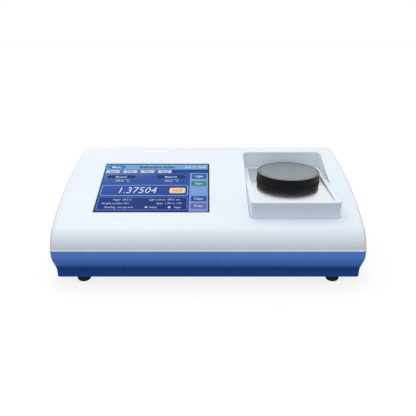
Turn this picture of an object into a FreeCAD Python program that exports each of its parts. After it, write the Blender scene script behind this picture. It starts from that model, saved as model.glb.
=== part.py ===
import FreeCAD, Part
import math
import os
from FreeCAD import Placement, Rotation, Vector

# Digital automatic refractometer. Millimetres; X to the right, Y to the back, Z up.
# The origin lies on the bench, under the middle of the housing.

# Housing as a whole
HALF_DEPTH = 116.0
HALF_WIDTH = 220.5          # at the seam, half way back, where the sides bow out most
SIDE_BOW = 8.0              # how much further in each side stands at the front and back
SIDE_DRAFT_DEG = 4.5        # lean of the cover's sides
EDGE_R = 9.0                # rounding round both ends of the cover and of the base's corners
SEAM_Z = 53.0
SLOPE_DEG = 16.3
SLOPE_MID_Z = 108.8         # height of the sloping top over the middle of the housing
FRONT_R = 34.0              # bullnose between the front wall and the slope
CREST_R = 14.0              # rounding between the slope and the back wall
OVERRUN = 1.0               # how far a cutting body runs past what it cuts
FIT = 0.05                  # clearance round a screw or a pressed-in piece
SCREW_SIDES = 8
POST_SIDES = 10

# Upper cover
COVER_WALL = 2.6
LIP_H = 1.8
LIP_OUT = 0.5
LIP_BEVEL = 0.4
POST_R = 4.5
POST_END_IN = 20.5          # screw posts near the ends, in from the housing's widest line
POST_END_Y = 60.0
POST_FRONT_X = 32.0         # single screw posts at the front and the back
POST_FRONT_IN = 18.0
POST_BACK_BAY_GAP = 30.0    # from the connector bay's right end to the post at the back
POST_BACK_IN = 14.0
VENT_COUNT = 12
VENT_W = 3.4
VENT_H = 26.0
VENT_PITCH = 8.0
VENT_Z = 72.0

# Base housing
BASE_WALL = 2.8
TUCK = 8.6                  # how far the base's front and back draw in from the seam to its underside
TUCK_SIDE_SHARE = 0.64      # how far its sides draw in, and how much sharper its corners get
TUCK_DROP = 9.0             # the draw-in starts this far below the seam
TUCK_RISE = 7.5             # and ends this far above the underside
TUCK_STEPS = 6
HOLLOW_STEPS = 3
SEAM_GAP = 0.6
TONGUE_T = 1.4
TONGUE_H = 2.0
TONGUE_GAP = 1.4            # clears the cover's leaning and curved walls all the way up the tongue
FLOOR_SLOT_W = 3.5
FLOOR_SLOT_L = 38.0
FLOOR_SLOT_PITCH = 6.5
FLOOR_SLOT_COUNT = 6
SUPPLY_SLOT_COUNT = 9

# Rubber feet
FOOT_H = 10.5
FOOT_IN_X = 46.0            # middle of a foot, in from the side and from the front or back
FOOT_IN_Y = 21.0
FOOT_TOP_R = 9.5
FOOT_BOTTOM_R = 6.8
FOOT_EDGE = 1.6
FOOT_RECESS = 1.2           # the foot's top sits this deep in the base
FOOT_SCREW_Z = 8.0          # underside of the foot's screw head, up inside the foot
FOOT_BOSS_R = 12.0
FOOT_BOSS_H = 4.0

# Screws: pan heads on plain shanks
HEAD_R = 3.4
HEAD_H = 2.2
SHANK_R = 1.5
SHANK_L = 9.0
COVER_SHANK_L = 16.0
COVER_SCREW_BITE = 9.0      # how far a cover screw reaches into its cover post

# Display, seen along the slope; its middle lies left of the housing's middle
DISPLAY_IN_LEFT = 58.1      # from the housing's widest line to the window
DISPLAY_TRAY_GAP = 56.1     # and from the window to the sample tray
DISPLAY_IN_FRONT = 53.2     # along the slope, from the level of the front wall up to the window
DISPLAY_IN_BACK = 64.4      # and from the window up to the level of the back wall
WINDOW_R = 1.2
WINDOW_BEVEL = 1.2
GLASS_DEPTH = 0.8           # glass face below the slope
GLASS_T = 1.8
GLASS_GAP = 0.3
GASKET_T = 0.8
GASKET_LAP = 3.0
MODULE_SIDE_MARGIN = 9.5    # how far the display module reaches past its window
MODULE_END_MARGIN = 8.45
MODULE_T = 7.0
MODULE_STEP = 1.0
MODULE_RIM = 6.0
BRACKET_T = 1.2
BRACKET_EAR = 12.0
BRACKET_BAR = 16.0
BRACKET_BAR_SHARE = 0.4
DISPLAY_POST_R = 3.6
DISPLAY_POST_SHARE = 0.8    # posts stand at this share of the module's half height

# Sample tray and the well that it stands in
TRAY_W = 125.9
TRAY_IN_RIGHT = 36.9        # from the housing's widest line, front and back to the tray
TRAY_IN_FRONT = 36.1
TRAY_IN_BACK = 29.9
TRAY_R = 7.5
TRAY_WALL = 2.5
TRAY_FOOT_Z = 78.0
RIM_Z = 109.6
RIM_W = 7.2
PAN_DEPTH = 2.8             # from the rim down to the steel plate
PAN_R = 2.5
PAN_WINDOW_R = 30.0
RIM_EDGE_R = 0.8
WELL_GAP = 0.5
WELL_WALL = 2.2
LEDGE_W = 13.0
LEDGE_T = 3.0
TRAY_BOSS_R = 4.0
TRAY_BOSS_IN = 6.5

# Steel plate, prism ring and cap; the head's middle is the prism's middle
HEAD_IN_RIGHT = 59.7        # from the tray's right side and back to the head's middle
HEAD_IN_BACK = 60.0
PLATE_T = 1.5
PLATE_GAP = 0.3
RING_FLANGE_R = 27.0
RING_FLANGE_H = 1.4
RING_BODY_R = 22.5
RING_BODY_GAP = 0.4
RING_DEPTH = 6.0            # from the plate's top down to the ring's underside
DISH_R = 20.0
DISH_BOTTOM_R = 9.0
DISH_DEPTH = 2.6
PRISM_TOP_DEPTH = 3.6       # prism face below the plate's top
RING_BORE_R = 12.4
SEAL_MINOR_R = 0.4
CAP_R = 47.8
CAP_H = 14.5
CAP_WALL = 3.0
CAP_EDGE_R = 1.0
RIDGE_COUNT = 3
RIDGE_PITCH = 2.6
RIDGE_DEPTH = 0.6
CAP_SEAL_R = 48.5
CAP_SEAL_H = 2.4
CAP_SEAL_LIP_T = 1.0
CAP_SEAL_LIP_H = 3.0

# Measuring head under the plate; both arms lean from the prism's face
ARM_DEG = 60.0              # from upright
PRISM_FACET = 8.0           # distance of the prism's slanted facets from the middle of its face
PRISM_H = 10.0
PRISM_D = 14.0
BLOCK_FACET = 26.0          # distance of the block's slanted faces
BLOCK_BOTTOM = 24.2         # block's underside below the prism's face
BLOCK_D = 40.0
EAR_T = 6.0
EAR_W = 44.0
EAR_OUT = 20.0              # how far the block's ears stand out at the front and back
BEAM_R = 4.0
TUBE_R = 8.0
TUBE_BORE_R = 6.0
TUBE_L = 24.0
LENS_T = 2.6
LENS_BEVEL = 0.5
LENS_PLACE = 8.0
LENS_SHOULDER = 0.6         # the ledge in the tube that a lens sits on
BOARD_T = 1.6
BOARD_W = 20.0
BOARD_L = 23.0
CHIP_SIZE = 7.0
CHIP_T = 1.6
LED_R = 2.5
LAMP_TIP_SHARE = 0.5
PROBE_R = 1.5
PROBE_L = 12.0
PROBE_HEIGHT = 8.0          # over the block's underside
MODULE_SIDE = 30.0          # thermoelectric module
PELTIER_T = 3.8
PELTIER_PLATE_T = 0.8
SINK_SIDE = 60.0
SINK_PLATE_T = 5.0
FIN_H = 27.0
FIN_T = 1.6
FIN_COUNT = 11

# Fan under the heat sink
FAN_T = 15.0
FAN_BORE_R = 28.5
FAN_HOLE = 50.0             # hole spacing
FAN_CORNER_R = 4.0
FAN_HOLE_R = 2.2
STRUT_W = 3.0
STRUT_T = 2.0
STRUT_COUNT = 4
HUB_PLATE_R = 14.0
HUB_R = 14.5
HUB_WALL = 1.4
HUB_TOP_GAP = 1.0           # below the fan's top
HUB_FLOOR_GAP = 1.0         # above the hub plate
BEARING_R = 3.5
BEARING_BORE_R = 1.56
SHAFT_R = 1.5
STATOR_R = 11.5
STATOR_H = 6.0
POLE_COUNT = 4
POLE_W = 5.0
BLADE_COUNT = 7
BLADE_R = 27.4
BLADE_T = 1.2
BLADE_RISE = 9.0
BLADE_SWING = 6.0           # half of how far a blade reaches round

# Frame that carries the measuring head
FRAME_T = 2.5
FRAME_W = 50.0
FRAME_TOE = 12.0
FRAME_FLANGE = 9.0

# Boards and power supply
STANDOFF_R = 3.0
STANDOFF_SIDES = 6
STANDOFF_H = 7.0
PCB_T = 1.6
MAIN_GAP = 1.5              # between the back edge of the board and the rear panel
MAIN_SUPPLY_GAP = 32.0
MAIN_TRAY_GAP = 12.7        # between the board's right edge and the line under the tray's left side
MAIN_D = 143.0
STANDOFF_IN = 5.0
SUPPLY_IN_LEFT = 37.5       # from the housing's widest line
SUPPLY_GAP = 3.0            # between its back edge and the inlet's tabs
SUPPLY_W = 66.0
SUPPLY_D = 112.0
SUPPLY_CAN_R = 8.0
SUPPLY_CAN_SHARE = 1.2      # each can's place from the board's middle, as a share of its radius
SUPPLY_THIRDS = 3           # the transformer and the cans are laid out in thirds of the board
RIBBON_T = 0.6
RIBBON_W_SHARE = 0.185      # widths as shares of the main board's width
PLUG_W_SHARE = 0.215
RIBBON_X_SHARE = -0.14
RIBBON_Y_SHARE = 0.09
PLUG_D = 6.0
PLUG_H = 5.0

# Components on the main board: place and size as shares of the board, height as a share of a chip's
CHIP_HEIGHT = 2.4
COMPONENT_SHARES = [
    (0.0, -0.05, 0.20, 0.18, 1.0),
    (-0.30, -0.28, 0.12, 0.10, 1.5),
    (0.28, -0.30, 0.10, 0.14, 0.8),
    (-0.34, 0.10, 0.10, 0.16, 3.4),
    (0.30, 0.06, 0.16, 0.10, 1.2),
    (0.05, -0.34, 0.16, 0.08, 2.6),
]

# Connector bay in the back wall of the base
BAY_IN_LEFT = 70.5          # from the housing's widest line
BAY_W = 180.0
BAY_Z0 = 20.0
BAY_Z1 = 47.5
BAY_DEPTH = 16.0            # from the housing's back to the outer face of the panel
BAY_WALL = 2.4
PANEL_T = 1.5
PANEL_LAP = 3.5
INLET_IN = 32.0             # from the bay's left end to the middle of the inlet
INLET_Z = 33.7
INLET_W = 27.0
INLET_H = 19.8
INLET_FLANGE_W = 50.0
INLET_FLANGE_H = 23.0
INLET_FLANGE_T = 2.4
INLET_D = 22.0
INLET_WALL = 1.6
INLET_FLOOR = 3.0
PIN_W = 2.0
PIN_H = 4.0
PIN_REACH = 14.0
PIN_SIDE = 7.0
PIN_DROP = 3.2
TAB_W = 0.8
TAB_H = 4.6
TAB_L = 7.0
SWITCH_IN = 84.0
SWITCH_W = 19.2
SWITCH_H = 12.9
SWITCH_RIM = 1.4
SWITCH_RIM_T = 1.5
SWITCH_D = 13.0
SWITCH_WALL = 1.2
ROCKER_GAP = 0.35
ROCKER_R = 6.2              # rocker's half length across its pivot
ROCKER_CROWN = 3.2
ROCKER_TILT_DEG = 8.0
ROCKER_PIN_R = 1.0
USB_IN = 112.0
USB_PITCH = 18.0
USB_COUNT = 2
USB_W = 13.1
USB_H = 5.7
USB_WALL = 0.5
USB_D = 14.0
USB_TONGUE_T = 1.8
USB_OUT = 0.8               # how far the shells stand out of the panel
PORT_LIFT = 1.4             # shells above the board
SERIAL_IN = 160.0
SERIAL_W = 31.0
SERIAL_H = 12.5
SERIAL_T = 1.2
SERIAL_SHELL_W = 17.0
SERIAL_SHELL_H = 8.4
SERIAL_SHELL_OUT = 5.0
SERIAL_D = 11.0

# Places worked out from the sizes above
SLOPE = math.radians(SLOPE_DEG)
POST_END_X = HALF_WIDTH - POST_END_IN
POST_FRONT_Y = POST_FRONT_IN - HALF_DEPTH
POST_BACK_Y = HALF_DEPTH - POST_BACK_IN
FOOT_X = HALF_WIDTH - FOOT_IN_X
FOOT_Y = HALF_DEPTH - FOOT_IN_Y
TRAY_X = HALF_WIDTH - TRAY_IN_RIGHT - TRAY_W / 2
TRAY_D = 2 * HALF_DEPTH - TRAY_IN_FRONT - TRAY_IN_BACK
TRAY_Y = (TRAY_IN_FRONT - TRAY_IN_BACK) / 2
HEAD_X = TRAY_X + TRAY_W / 2 - HEAD_IN_RIGHT
HEAD_Y = TRAY_Y + TRAY_D / 2 - HEAD_IN_BACK
DISPLAY_W = 2 * HALF_WIDTH - DISPLAY_IN_LEFT - DISPLAY_TRAY_GAP - TRAY_W - TRAY_IN_RIGHT
DISPLAY_X = DISPLAY_IN_LEFT + DISPLAY_W / 2 - HALF_WIDTH
DISPLAY_H = 2 * HALF_DEPTH / math.cos(SLOPE) - DISPLAY_IN_FRONT - DISPLAY_IN_BACK
DISPLAY_UP = (DISPLAY_IN_FRONT - DISPLAY_IN_BACK) / 2
MODULE_W = DISPLAY_W + 2 * MODULE_SIDE_MARGIN
MODULE_H = DISPLAY_H + 2 * MODULE_END_MARGIN
BAY_Y = HALF_DEPTH - BAY_DEPTH
BAY_X0 = BAY_IN_LEFT - HALF_WIDTH
BAY_X1 = BAY_X0 + BAY_W
POST_BACK_X = BAY_X1 + POST_BACK_BAY_GAP
INLET_X = BAY_X0 + INLET_IN
SWITCH_X = BAY_X0 + SWITCH_IN
USB_X = BAY_X0 + USB_IN
SERIAL_X = BAY_X0 + SERIAL_IN
SUPPLY_X = SUPPLY_IN_LEFT + SUPPLY_W / 2 - HALF_WIDTH
MAIN_X0 = SUPPLY_X + SUPPLY_W / 2 + MAIN_SUPPLY_GAP
MAIN_X1 = TRAY_X - TRAY_W / 2 - MAIN_TRAY_GAP
MAIN_X = (MAIN_X0 + MAIN_X1) / 2
MAIN_W = MAIN_X1 - MAIN_X0
RIBBON_W = RIBBON_W_SHARE * MAIN_W
PLUG_W = PLUG_W_SHARE * MAIN_W
MAIN_Y = BAY_Y - PANEL_T - MAIN_GAP - MAIN_D / 2
SUPPLY_Y = BAY_Y - INLET_D - TAB_L - SUPPLY_GAP - SUPPLY_D / 2
BASE_Z = FOOT_H
FLOOR_Z = BASE_Z + BASE_WALL
PLATE_Z = RIM_Z - PAN_DEPTH
PAN_Z = PLATE_Z - PLATE_T
FACE_Z = PLATE_Z - PRISM_TOP_DEPTH
RING_Z = PLATE_Z - RING_DEPTH
BLOCK_Z = FACE_Z - BLOCK_BOTTOM
SINK_Z = BLOCK_Z - PELTIER_T
FAN_TOP_Z = SINK_Z - SINK_PLATE_T - FIN_H
FAN_Z = FAN_TOP_Z - FAN_T
MAIN_Z = FLOOR_Z + STANDOFF_H
MODULE_TOP = -GLASS_DEPTH - GLASS_T - GASKET_T
FRAME_HALF = BLOCK_D / 2 + EAR_OUT
EAR_Z = RING_Z - EAR_T
LEDGE_Z = TRAY_FOOT_Z - LEDGE_T
CAP_TOP_Z = PLATE_Z + CAP_H
CAP_BOTTOM_Z = PLATE_Z + CAP_SEAL_H
SLOPE_PLACE = Placement(Vector(0, 0, SLOPE_MID_Z), Rotation(Vector(1, 0, 0), SLOPE_DEG))
SKY = SLOPE_MID_Z + HALF_DEPTH


def slope_z(y):
    return SLOPE_MID_Z + y * math.tan(SLOPE)


def box(x0, x1, y0, y1, z0, z1):
    return Part.makeBox(x1 - x0, y1 - y0, z1 - z0, Vector(x0, y0, z0))


def middle_box(x, y, width, depth, z0, z1):
    return box(x - width / 2, x + width / 2, y - depth / 2, y + depth / 2, z0, z1)


def rod(x, y, z0, z1, r):
    return Part.makeCylinder(r, z1 - z0, Vector(x, y, z0))


def prism_rod(x, y, z0, z1, r, sides):
    """Upright rod with flat sides, which keeps hidden posts and screws light."""
    corners = []
    for index in range(sides):
        turn = 2 * math.pi * (index + 0.5) / sides
        corners.append(Vector(x + r * math.cos(turn), y + r * math.sin(turn), z0))
    return Part.Face(Part.makePolygon(corners + corners[:1])).extrude(Vector(0, 0, z1 - z0))


def post(x, y, z0, z1, r):
    return prism_rod(x, y, z0, z1, r, POST_SIDES)


def screw_hole(x, y, z0, z1, r):
    return prism_rod(x, y, z0, z1, r + FIT, SCREW_SIDES)


def union(shapes):
    first, rest = shapes[0], shapes[1:]
    return first.fuse(rest).removeSplitter() if rest else first


def cut(shape, tools):
    return shape.cut(tools)


def group(shapes):
    return Part.makeCompound(shapes)


def rounded_wire(x, y, width, depth, r, z):
    """Rectangle with round corners, level, at height z."""
    edges = []
    corners = [(1, 1), (-1, 1), (-1, -1), (1, -1)]
    arcs = []
    for quarter, (side_x, side_y) in enumerate(corners):
        cx = x + side_x * (width / 2 - r)
        cy = y + side_y * (depth / 2 - r)
        points = []
        for share in (0, 0.5, 1):
            angle = math.pi / 2 * (quarter + share)
            points.append(Vector(cx + r * math.cos(angle), cy + r * math.sin(angle), z))
        arcs.append(points)
    for index, points in enumerate(arcs):
        edges.append(Part.makeLine(arcs[index - 1][2], points[0]))
        edges.append(Part.Arc(*points).toShape())
    return Part.Wire(edges)


def rounded_plate(x, y, width, depth, r, z0, z1):
    face = Part.Face(rounded_wire(x, y, width, depth, r, z0))
    return face.extrude(Vector(0, 0, z1 - z0))


def revolved(x, y, points):
    """Turns a closed outline of (radius, height) points about the upright line through x, y."""
    outline = [Vector(x + r, y, z) for r, z in points]
    face = Part.Face(Part.makePolygon(outline + outline[:1]))
    return face.revolve(Vector(x, y, 0), Vector(0, 0, 1), 360)


def on_slope(shape):
    """Takes a shape drawn about the level plane z = 0 to the sloping top of the cover."""
    moved = shape.copy()
    moved.Placement = SLOPE_PLACE
    return moved


def on_arm(shape, side):
    """Takes a shape drawn along +Z from the origin to an arm that leaves the prism's face."""
    turn = Rotation(Vector(0, 1, 0), side * (180 - ARM_DEG))
    moved = shape.copy()
    moved.Placement = Placement(Vector(HEAD_X, HEAD_Y, FACE_Z), turn)
    return moved


def screw(x, y, z, length):
    """Screw that points upwards, with its head's upper face against z."""
    head = prism_rod(x, y, z - HEAD_H, z, HEAD_R, SCREW_SIDES)
    shank = prism_rod(x, y, z, z + length, SHANK_R, SCREW_SIDES)
    return union([head, shank])


def along_y(shape, x, y, z):
    """Lays a shape drawn along +Z down along +Y, starting at x, y, z."""
    laid = shape.copy()
    laid.Placement = Placement(Vector(x, y, z), Rotation(Vector(1, 0, 0), -90))
    return laid


def plan_wire(z, inset, drawn_in=0):
    """The housing from above at height z: straight front and back, bowed sides, round corners.
    The front and back stand drawn_in further in than the inset, the sides a share of that."""
    side_in = TUCK_SIDE_SHARE * drawn_in
    half_w = HALF_WIDTH - inset - side_in
    half_d = HALF_DEPTH - inset - drawn_in
    corner_r = EDGE_R - side_in
    bow_r = (HALF_DEPTH ** 2 + SIDE_BOW ** 2) / (2 * SIDE_BOW) - inset - side_in
    bow_x = half_w - bow_r
    corner_y = half_d - corner_r
    corner_x = bow_x + math.sqrt((bow_r - corner_r) ** 2 - corner_y ** 2)
    lean = math.atan2(corner_y, corner_x - bow_x)
    touch = (bow_x + bow_r * math.cos(lean), bow_r * math.sin(lean))
    half_turn = (lean + math.pi / 2) / 2
    on_corner = (corner_x + corner_r * math.cos(half_turn), corner_y + corner_r * math.sin(half_turn))
    end = [
        Vector(corner_x, -half_d, z),
        Vector(on_corner[0], -on_corner[1], z),
        Vector(touch[0], -touch[1], z),
        Vector(half_w, 0, z),
        Vector(*touch, z),
        Vector(*on_corner, z),
        Vector(corner_x, half_d, z),
    ]
    other_end = [Vector(-point.x, point.y, z) for point in reversed(end)]
    edges = [Part.makeLine(other_end[-1], end[0])]
    edges += arcs_through(end)
    edges.append(Part.makeLine(end[-1], other_end[0]))
    edges += arcs_through(other_end)
    return Part.Wire(edges)


def arcs_through(points):
    """Arcs that follow on from each other; each takes the next two points."""
    starts = range(0, len(points) - 2, 2)
    return [Part.Arc(*points[start:start + 3]).toShape() for start in starts]


def plan_prism(z0, z1, inset):
    return Part.Face(plan_wire(z0, inset)).extrude(Vector(0, 0, z1 - z0))


def profile_arc(y, z, r, start_deg, end_deg):
    points = []
    for angle in (start_deg, (start_deg + end_deg) / 2, end_deg):
        turn = math.radians(angle)
        points.append(Vector(0, y + r * math.cos(turn), z + r * math.sin(turn)))
    return Part.Arc(*points).toShape()


def cover_body(inset, bottom):
    """The cover's outside, moved in by inset: a side profile carried across, between two bowed,
    leaning ends. The edge round each end is rounded outside and cut straight inside, from its
    front foot over the top and down the back."""
    front_y = FRONT_R - HALF_DEPTH
    front_z = slope_z(front_y) - FRONT_R / math.cos(SLOPE)
    crest_y = HALF_DEPTH - CREST_R
    crest_z = slope_z(crest_y) - CREST_R / math.cos(SLOPE)
    front = profile_arc(front_y, front_z, FRONT_R - inset, 180, 90 + SLOPE_DEG)
    crest = profile_arc(crest_y, crest_z, CREST_R - inset, 90 + SLOPE_DEG, 0)
    front_foot = Vector(0, inset - HALF_DEPTH, 0)
    back_foot = Vector(0, HALF_DEPTH - inset, 0)
    edges = [
        Part.makeLine(front_foot, front.firstVertex().Point),
        front,
        Part.makeLine(front.lastVertex().Point, crest.firstVertex().Point),
        crest,
        Part.makeLine(crest.lastVertex().Point, back_foot),
        Part.makeLine(back_foot, front_foot),
    ]
    reach = HALF_WIDTH + OVERRUN
    profile = Part.Face(Part.Wire(edges))
    profile.translate(Vector(-reach, 0, 0))
    body = profile.extrude(Vector(2 * reach, 0, 0))
    bow_r = (HALF_DEPTH ** 2 + SIDE_BOW ** 2) / (2 * SIDE_BOW) - inset
    lean = math.tan(math.radians(SIDE_DRAFT_DEG))
    low_r = bow_r - (bottom - SEAM_Z) * lean
    high_r = bow_r - (SKY - SEAM_Z) * lean
    for side in (1, -1):
        centre = Vector(side * (HALF_WIDTH - inset - bow_r), 0, bottom)
        cone = Part.makeCone(low_r, high_r, SKY - bottom, centre)
        cone.rotate(centre, Vector(0, 0, 1), 90)
        body = body.common(cone)
    feet = []
    for face in body.Faces:
        if isinstance(face.Surface, Part.Cone):
            rising = [edge for edge in face.Edges if edge.BoundBox.ZMax > bottom + FIT]
            feet += [edge for edge in rising if edge.BoundBox.ZMin < bottom + FIT and edge.CenterOfMass.y < 0]
    return body.makeChamfer(EDGE_R - inset, feet) if inset else body.makeFillet(EDGE_R, feet)


def well_plate(grow, z0, z1):
    """Prism of the tray's outline, grown by the given width all round."""
    corner_r = max(TRAY_R + grow, PAN_R)
    return rounded_plate(TRAY_X, TRAY_Y, TRAY_W + 2 * grow, TRAY_D + 2 * grow, corner_r, z0, z1)


def cover_post_places():
    places = [(side * POST_END_X, way * POST_END_Y) for side in (1, -1) for way in (1, -1)]
    return places + [(POST_FRONT_X, POST_FRONT_Y), (POST_BACK_X, POST_BACK_Y)]


def display_post_places():
    reach = MODULE_W / 2 + BRACKET_EAR / 2
    climb = MODULE_H / 2 * DISPLAY_POST_SHARE
    return [(DISPLAY_X + side * reach, DISPLAY_UP + way * climb) for side in (1, -1) for way in (1, -1)]


def tray_screw_places():
    reach = TRAY_W / 2 - TRAY_BOSS_IN
    depth = TRAY_D / 2 - TRAY_BOSS_IN
    return [(TRAY_X + side * reach, TRAY_Y + way * depth) for side in (1, -1) for way in (1, -1)]


def make_top_cover():
    """White moulded cover: a thin shell with a display window, the tray's well and screw posts."""
    outside = cover_body(0, SEAM_Z)
    lip = plan_prism(SEAM_Z, SEAM_Z + LIP_H, -LIP_OUT)
    rim = [edge for edge in lip.Edges if edge.BoundBox.ZMin > SEAM_Z + LIP_H - FIT]
    lip = lip.makeChamfer(LIP_BEVEL, rim)
    hollow = cover_body(COVER_WALL, SEAM_Z - OVERRUN)
    shell = cut(union([outside, lip]), [hollow])
    posts = [post(x, y, SEAM_Z, SKY, POST_R) for x, y in cover_post_places()]
    module_bottom = MODULE_TOP - MODULE_T
    for x, y in display_post_places():
        posts.append(on_slope(post(x, y, module_bottom, -COVER_WALL / 2, DISPLAY_POST_R)))
    shell = cut(shell, [well_plate(WELL_GAP + WELL_WALL / 2, TRAY_FOOT_Z, SKY)])
    well = cut(well_plate(WELL_GAP + WELL_WALL, LEDGE_Z, SKY),
               [well_plate(WELL_GAP, TRAY_FOOT_Z, SKY + OVERRUN),
                well_plate(-LEDGE_W, LEDGE_Z - OVERRUN, TRAY_FOOT_Z + OVERRUN)])
    shell = union([shell] + [piece.common(outside) for piece in posts + [well]])
    tools = []
    tools.append(on_slope(rounded_plate(DISPLAY_X, DISPLAY_UP, DISPLAY_W, DISPLAY_H, WINDOW_R,
                                        -COVER_WALL - OVERRUN, OVERRUN)))
    outer_w = DISPLAY_W + 2 * WINDOW_BEVEL
    outer_h = DISPLAY_H + 2 * WINDOW_BEVEL
    bevel = [
        rounded_wire(DISPLAY_X, DISPLAY_UP, DISPLAY_W, DISPLAY_H, WINDOW_R, -WINDOW_BEVEL),
        rounded_wire(DISPLAY_X, DISPLAY_UP, outer_w, outer_h, WINDOW_R + WINDOW_BEVEL, 0),
    ]
    tools.append(on_slope(Part.makeLoft(bevel, True, True)))
    for x, y in cover_post_places():
        tools.append(screw_hole(x, y, SEAM_Z - OVERRUN, SEAM_Z + COVER_SCREW_BITE, SHANK_R))
    for x, y in tray_screw_places():
        tools.append(screw_hole(x, y, LEDGE_Z - OVERRUN, TRAY_FOOT_Z + OVERRUN, SHANK_R))
    first = HEAD_X - (VENT_COUNT - 1) * VENT_PITCH / 2
    for index in range(VENT_COUNT):
        slot = middle_box(first + index * VENT_PITCH, 0, VENT_W, VENT_H, 0, COVER_WALL + 2 * OVERRUN)
        tools.append(along_y(slot, 0, HALF_DEPTH - COVER_WALL - OVERRUN, VENT_Z))
    return cut(shell, tools)


def tuck(share):
    """How far the base has drawn in after a share of the way down: a smooth S."""
    return TUCK * share * share * (3 - 2 * share)


def base_body(inset, bottom, top, steps):
    """Straight wall at the top and the bottom, with the S between them in a number of steps."""
    high = SEAM_Z - TUCK_DROP
    low = BASE_Z + TUCK_RISE
    wires = [plan_wire(bottom, inset, TUCK)]
    for step in range(steps + 1):
        share = 1 - step / steps
        wires.append(plan_wire(high + (low - high) * share, inset, tuck(share)))
    wires.append(plan_wire(top, inset))
    return Part.makeLoft(wires, True, True)


def foot_places():
    return [(side * FOOT_X, way * FOOT_Y) for side in (-1, 1) for way in (-1, 1)]


def fan_screw_places():
    reach = FAN_HOLE / 2
    return [(HEAD_X + side * reach, HEAD_Y + way * reach) for side in (1, -1) for way in (1, -1)]


def board_posts(x, y, width, depth):
    reach = width / 2 - STANDOFF_IN
    climb = depth / 2 - STANDOFF_IN
    return [(x + side * reach, y + way * climb) for side in (1, -1) for way in (1, -1)]


def frame_toe_places():
    reach = FRAME_W / 2 - STANDOFF_IN
    out = FRAME_HALF + FRAME_TOE / 2
    return [(HEAD_X + side * reach, HEAD_Y + way * out) for side in (1, -1) for way in (1, -1)]


def floor_slots(x, y, count):
    first = x - (count - 1) * FLOOR_SLOT_PITCH / 2
    return [middle_box(first + index * FLOOR_SLOT_PITCH, y, FLOOR_SLOT_W, FLOOR_SLOT_L,
                       BASE_Z - OVERRUN, FLOOR_Z + OVERRUN) for index in range(count)]


def make_base_housing():
    """Blue moulded tray: drawn-in walls, screw posts, foot bosses, air slots and the connector bay."""
    top = SEAM_Z - SEAM_GAP
    outside = base_body(0, BASE_Z, top, TUCK_STEPS)
    shell = cut(outside, [base_body(BASE_WALL, FLOOR_Z, top + OVERRUN, HOLLOW_STEPS)])
    tongue_out = COVER_WALL + TONGUE_GAP
    tongue = cut(plan_prism(top - TONGUE_H, SEAM_Z + TONGUE_H, tongue_out),
                 [plan_prism(top - TONGUE_H - OVERRUN, SEAM_Z + TONGUE_H + OVERRUN, tongue_out + TONGUE_T)])
    shelf = cut(plan_prism(top - TONGUE_H, top, BASE_WALL / 2),
                [plan_prism(top - TONGUE_H - OVERRUN, top + OVERRUN, tongue_out + TONGUE_T / 2)])
    pieces = [tongue, shelf.common(outside)]
    pieces += [post(x, y, FLOOR_Z, SEAM_Z, POST_R) for x, y in cover_post_places()]
    pieces += [post(x, y, FLOOR_Z, FLOOR_Z + FOOT_BOSS_H, FOOT_BOSS_R) for x, y in foot_places()]
    pieces += [post(x, y, FLOOR_Z, FAN_Z, FAN_CORNER_R) for x, y in fan_screw_places()]
    collar = box(BAY_X0 - BAY_WALL, BAY_X1 + BAY_WALL, BAY_Y, HALF_DEPTH + OVERRUN,
                 BAY_Z0 - BAY_WALL, BAY_Z1 + BAY_WALL)
    pieces.append(collar.common(outside))
    shell = union([shell] + pieces)
    tools = [box(BAY_X0, BAY_X1, BAY_Y - OVERRUN, HALF_DEPTH + OVERRUN, BAY_Z0, BAY_Z1)]
    tools += floor_slots(HEAD_X, HEAD_Y, FLOOR_SLOT_COUNT)
    tools += floor_slots(SUPPLY_X, SUPPLY_Y, SUPPLY_SLOT_COUNT)
    seat = SEAM_Z + COVER_SCREW_BITE - COVER_SHANK_L
    for x, y in cover_post_places():
        tools.append(screw_hole(x, y, BASE_Z - OVERRUN, seat, HEAD_R))
        tools.append(screw_hole(x, y, BASE_Z - OVERRUN, SEAM_Z + OVERRUN, SHANK_R))
    for x, y in foot_places():
        tools.append(rod(x, y, BASE_Z - OVERRUN, BASE_Z + FOOT_RECESS, FOOT_TOP_R + FIT))
        tools.append(screw_hole(x, y, BASE_Z, FLOOR_Z + FOOT_BOSS_H + OVERRUN, SHANK_R))
    return cut(shell, tools)


def make_foot(x, y):
    """Round foot, wide where it meets the base and narrow on the bench."""
    top = BASE_Z + FOOT_RECESS
    outline = [(0, 0), (FOOT_BOTTOM_R, 0), (FOOT_TOP_R, BASE_Z - FOOT_EDGE), (FOOT_TOP_R, top), (0, top)]
    foot = revolved(x, y, outline)
    return cut(foot, [screw_hole(x, y, -OVERRUN, FOOT_SCREW_Z, HEAD_R),
                      screw_hole(x, y, -OVERRUN, top + OVERRUN, SHANK_R)])


def make_rubber_feet():
    return group([make_foot(x, y) for x, y in foot_places()])


def make_foot_screws():
    return group([screw(x, y, FOOT_SCREW_Z, SHANK_L) for x, y in foot_places()])


def make_cover_screws():
    seat = SEAM_Z + COVER_SCREW_BITE - COVER_SHANK_L
    length = COVER_SHANK_L - FIT
    return group([screw(x, y, seat, length) for x, y in cover_post_places()])


def make_touch_glass():
    """Cover glass of the touch display, a little below the slope."""
    width = DISPLAY_W - 2 * GLASS_GAP
    height = DISPLAY_H - 2 * GLASS_GAP
    return on_slope(rounded_plate(DISPLAY_X, DISPLAY_UP, width, height, WINDOW_R - GLASS_GAP,
                                  -GLASS_DEPTH - GLASS_T, -GLASS_DEPTH))


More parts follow.
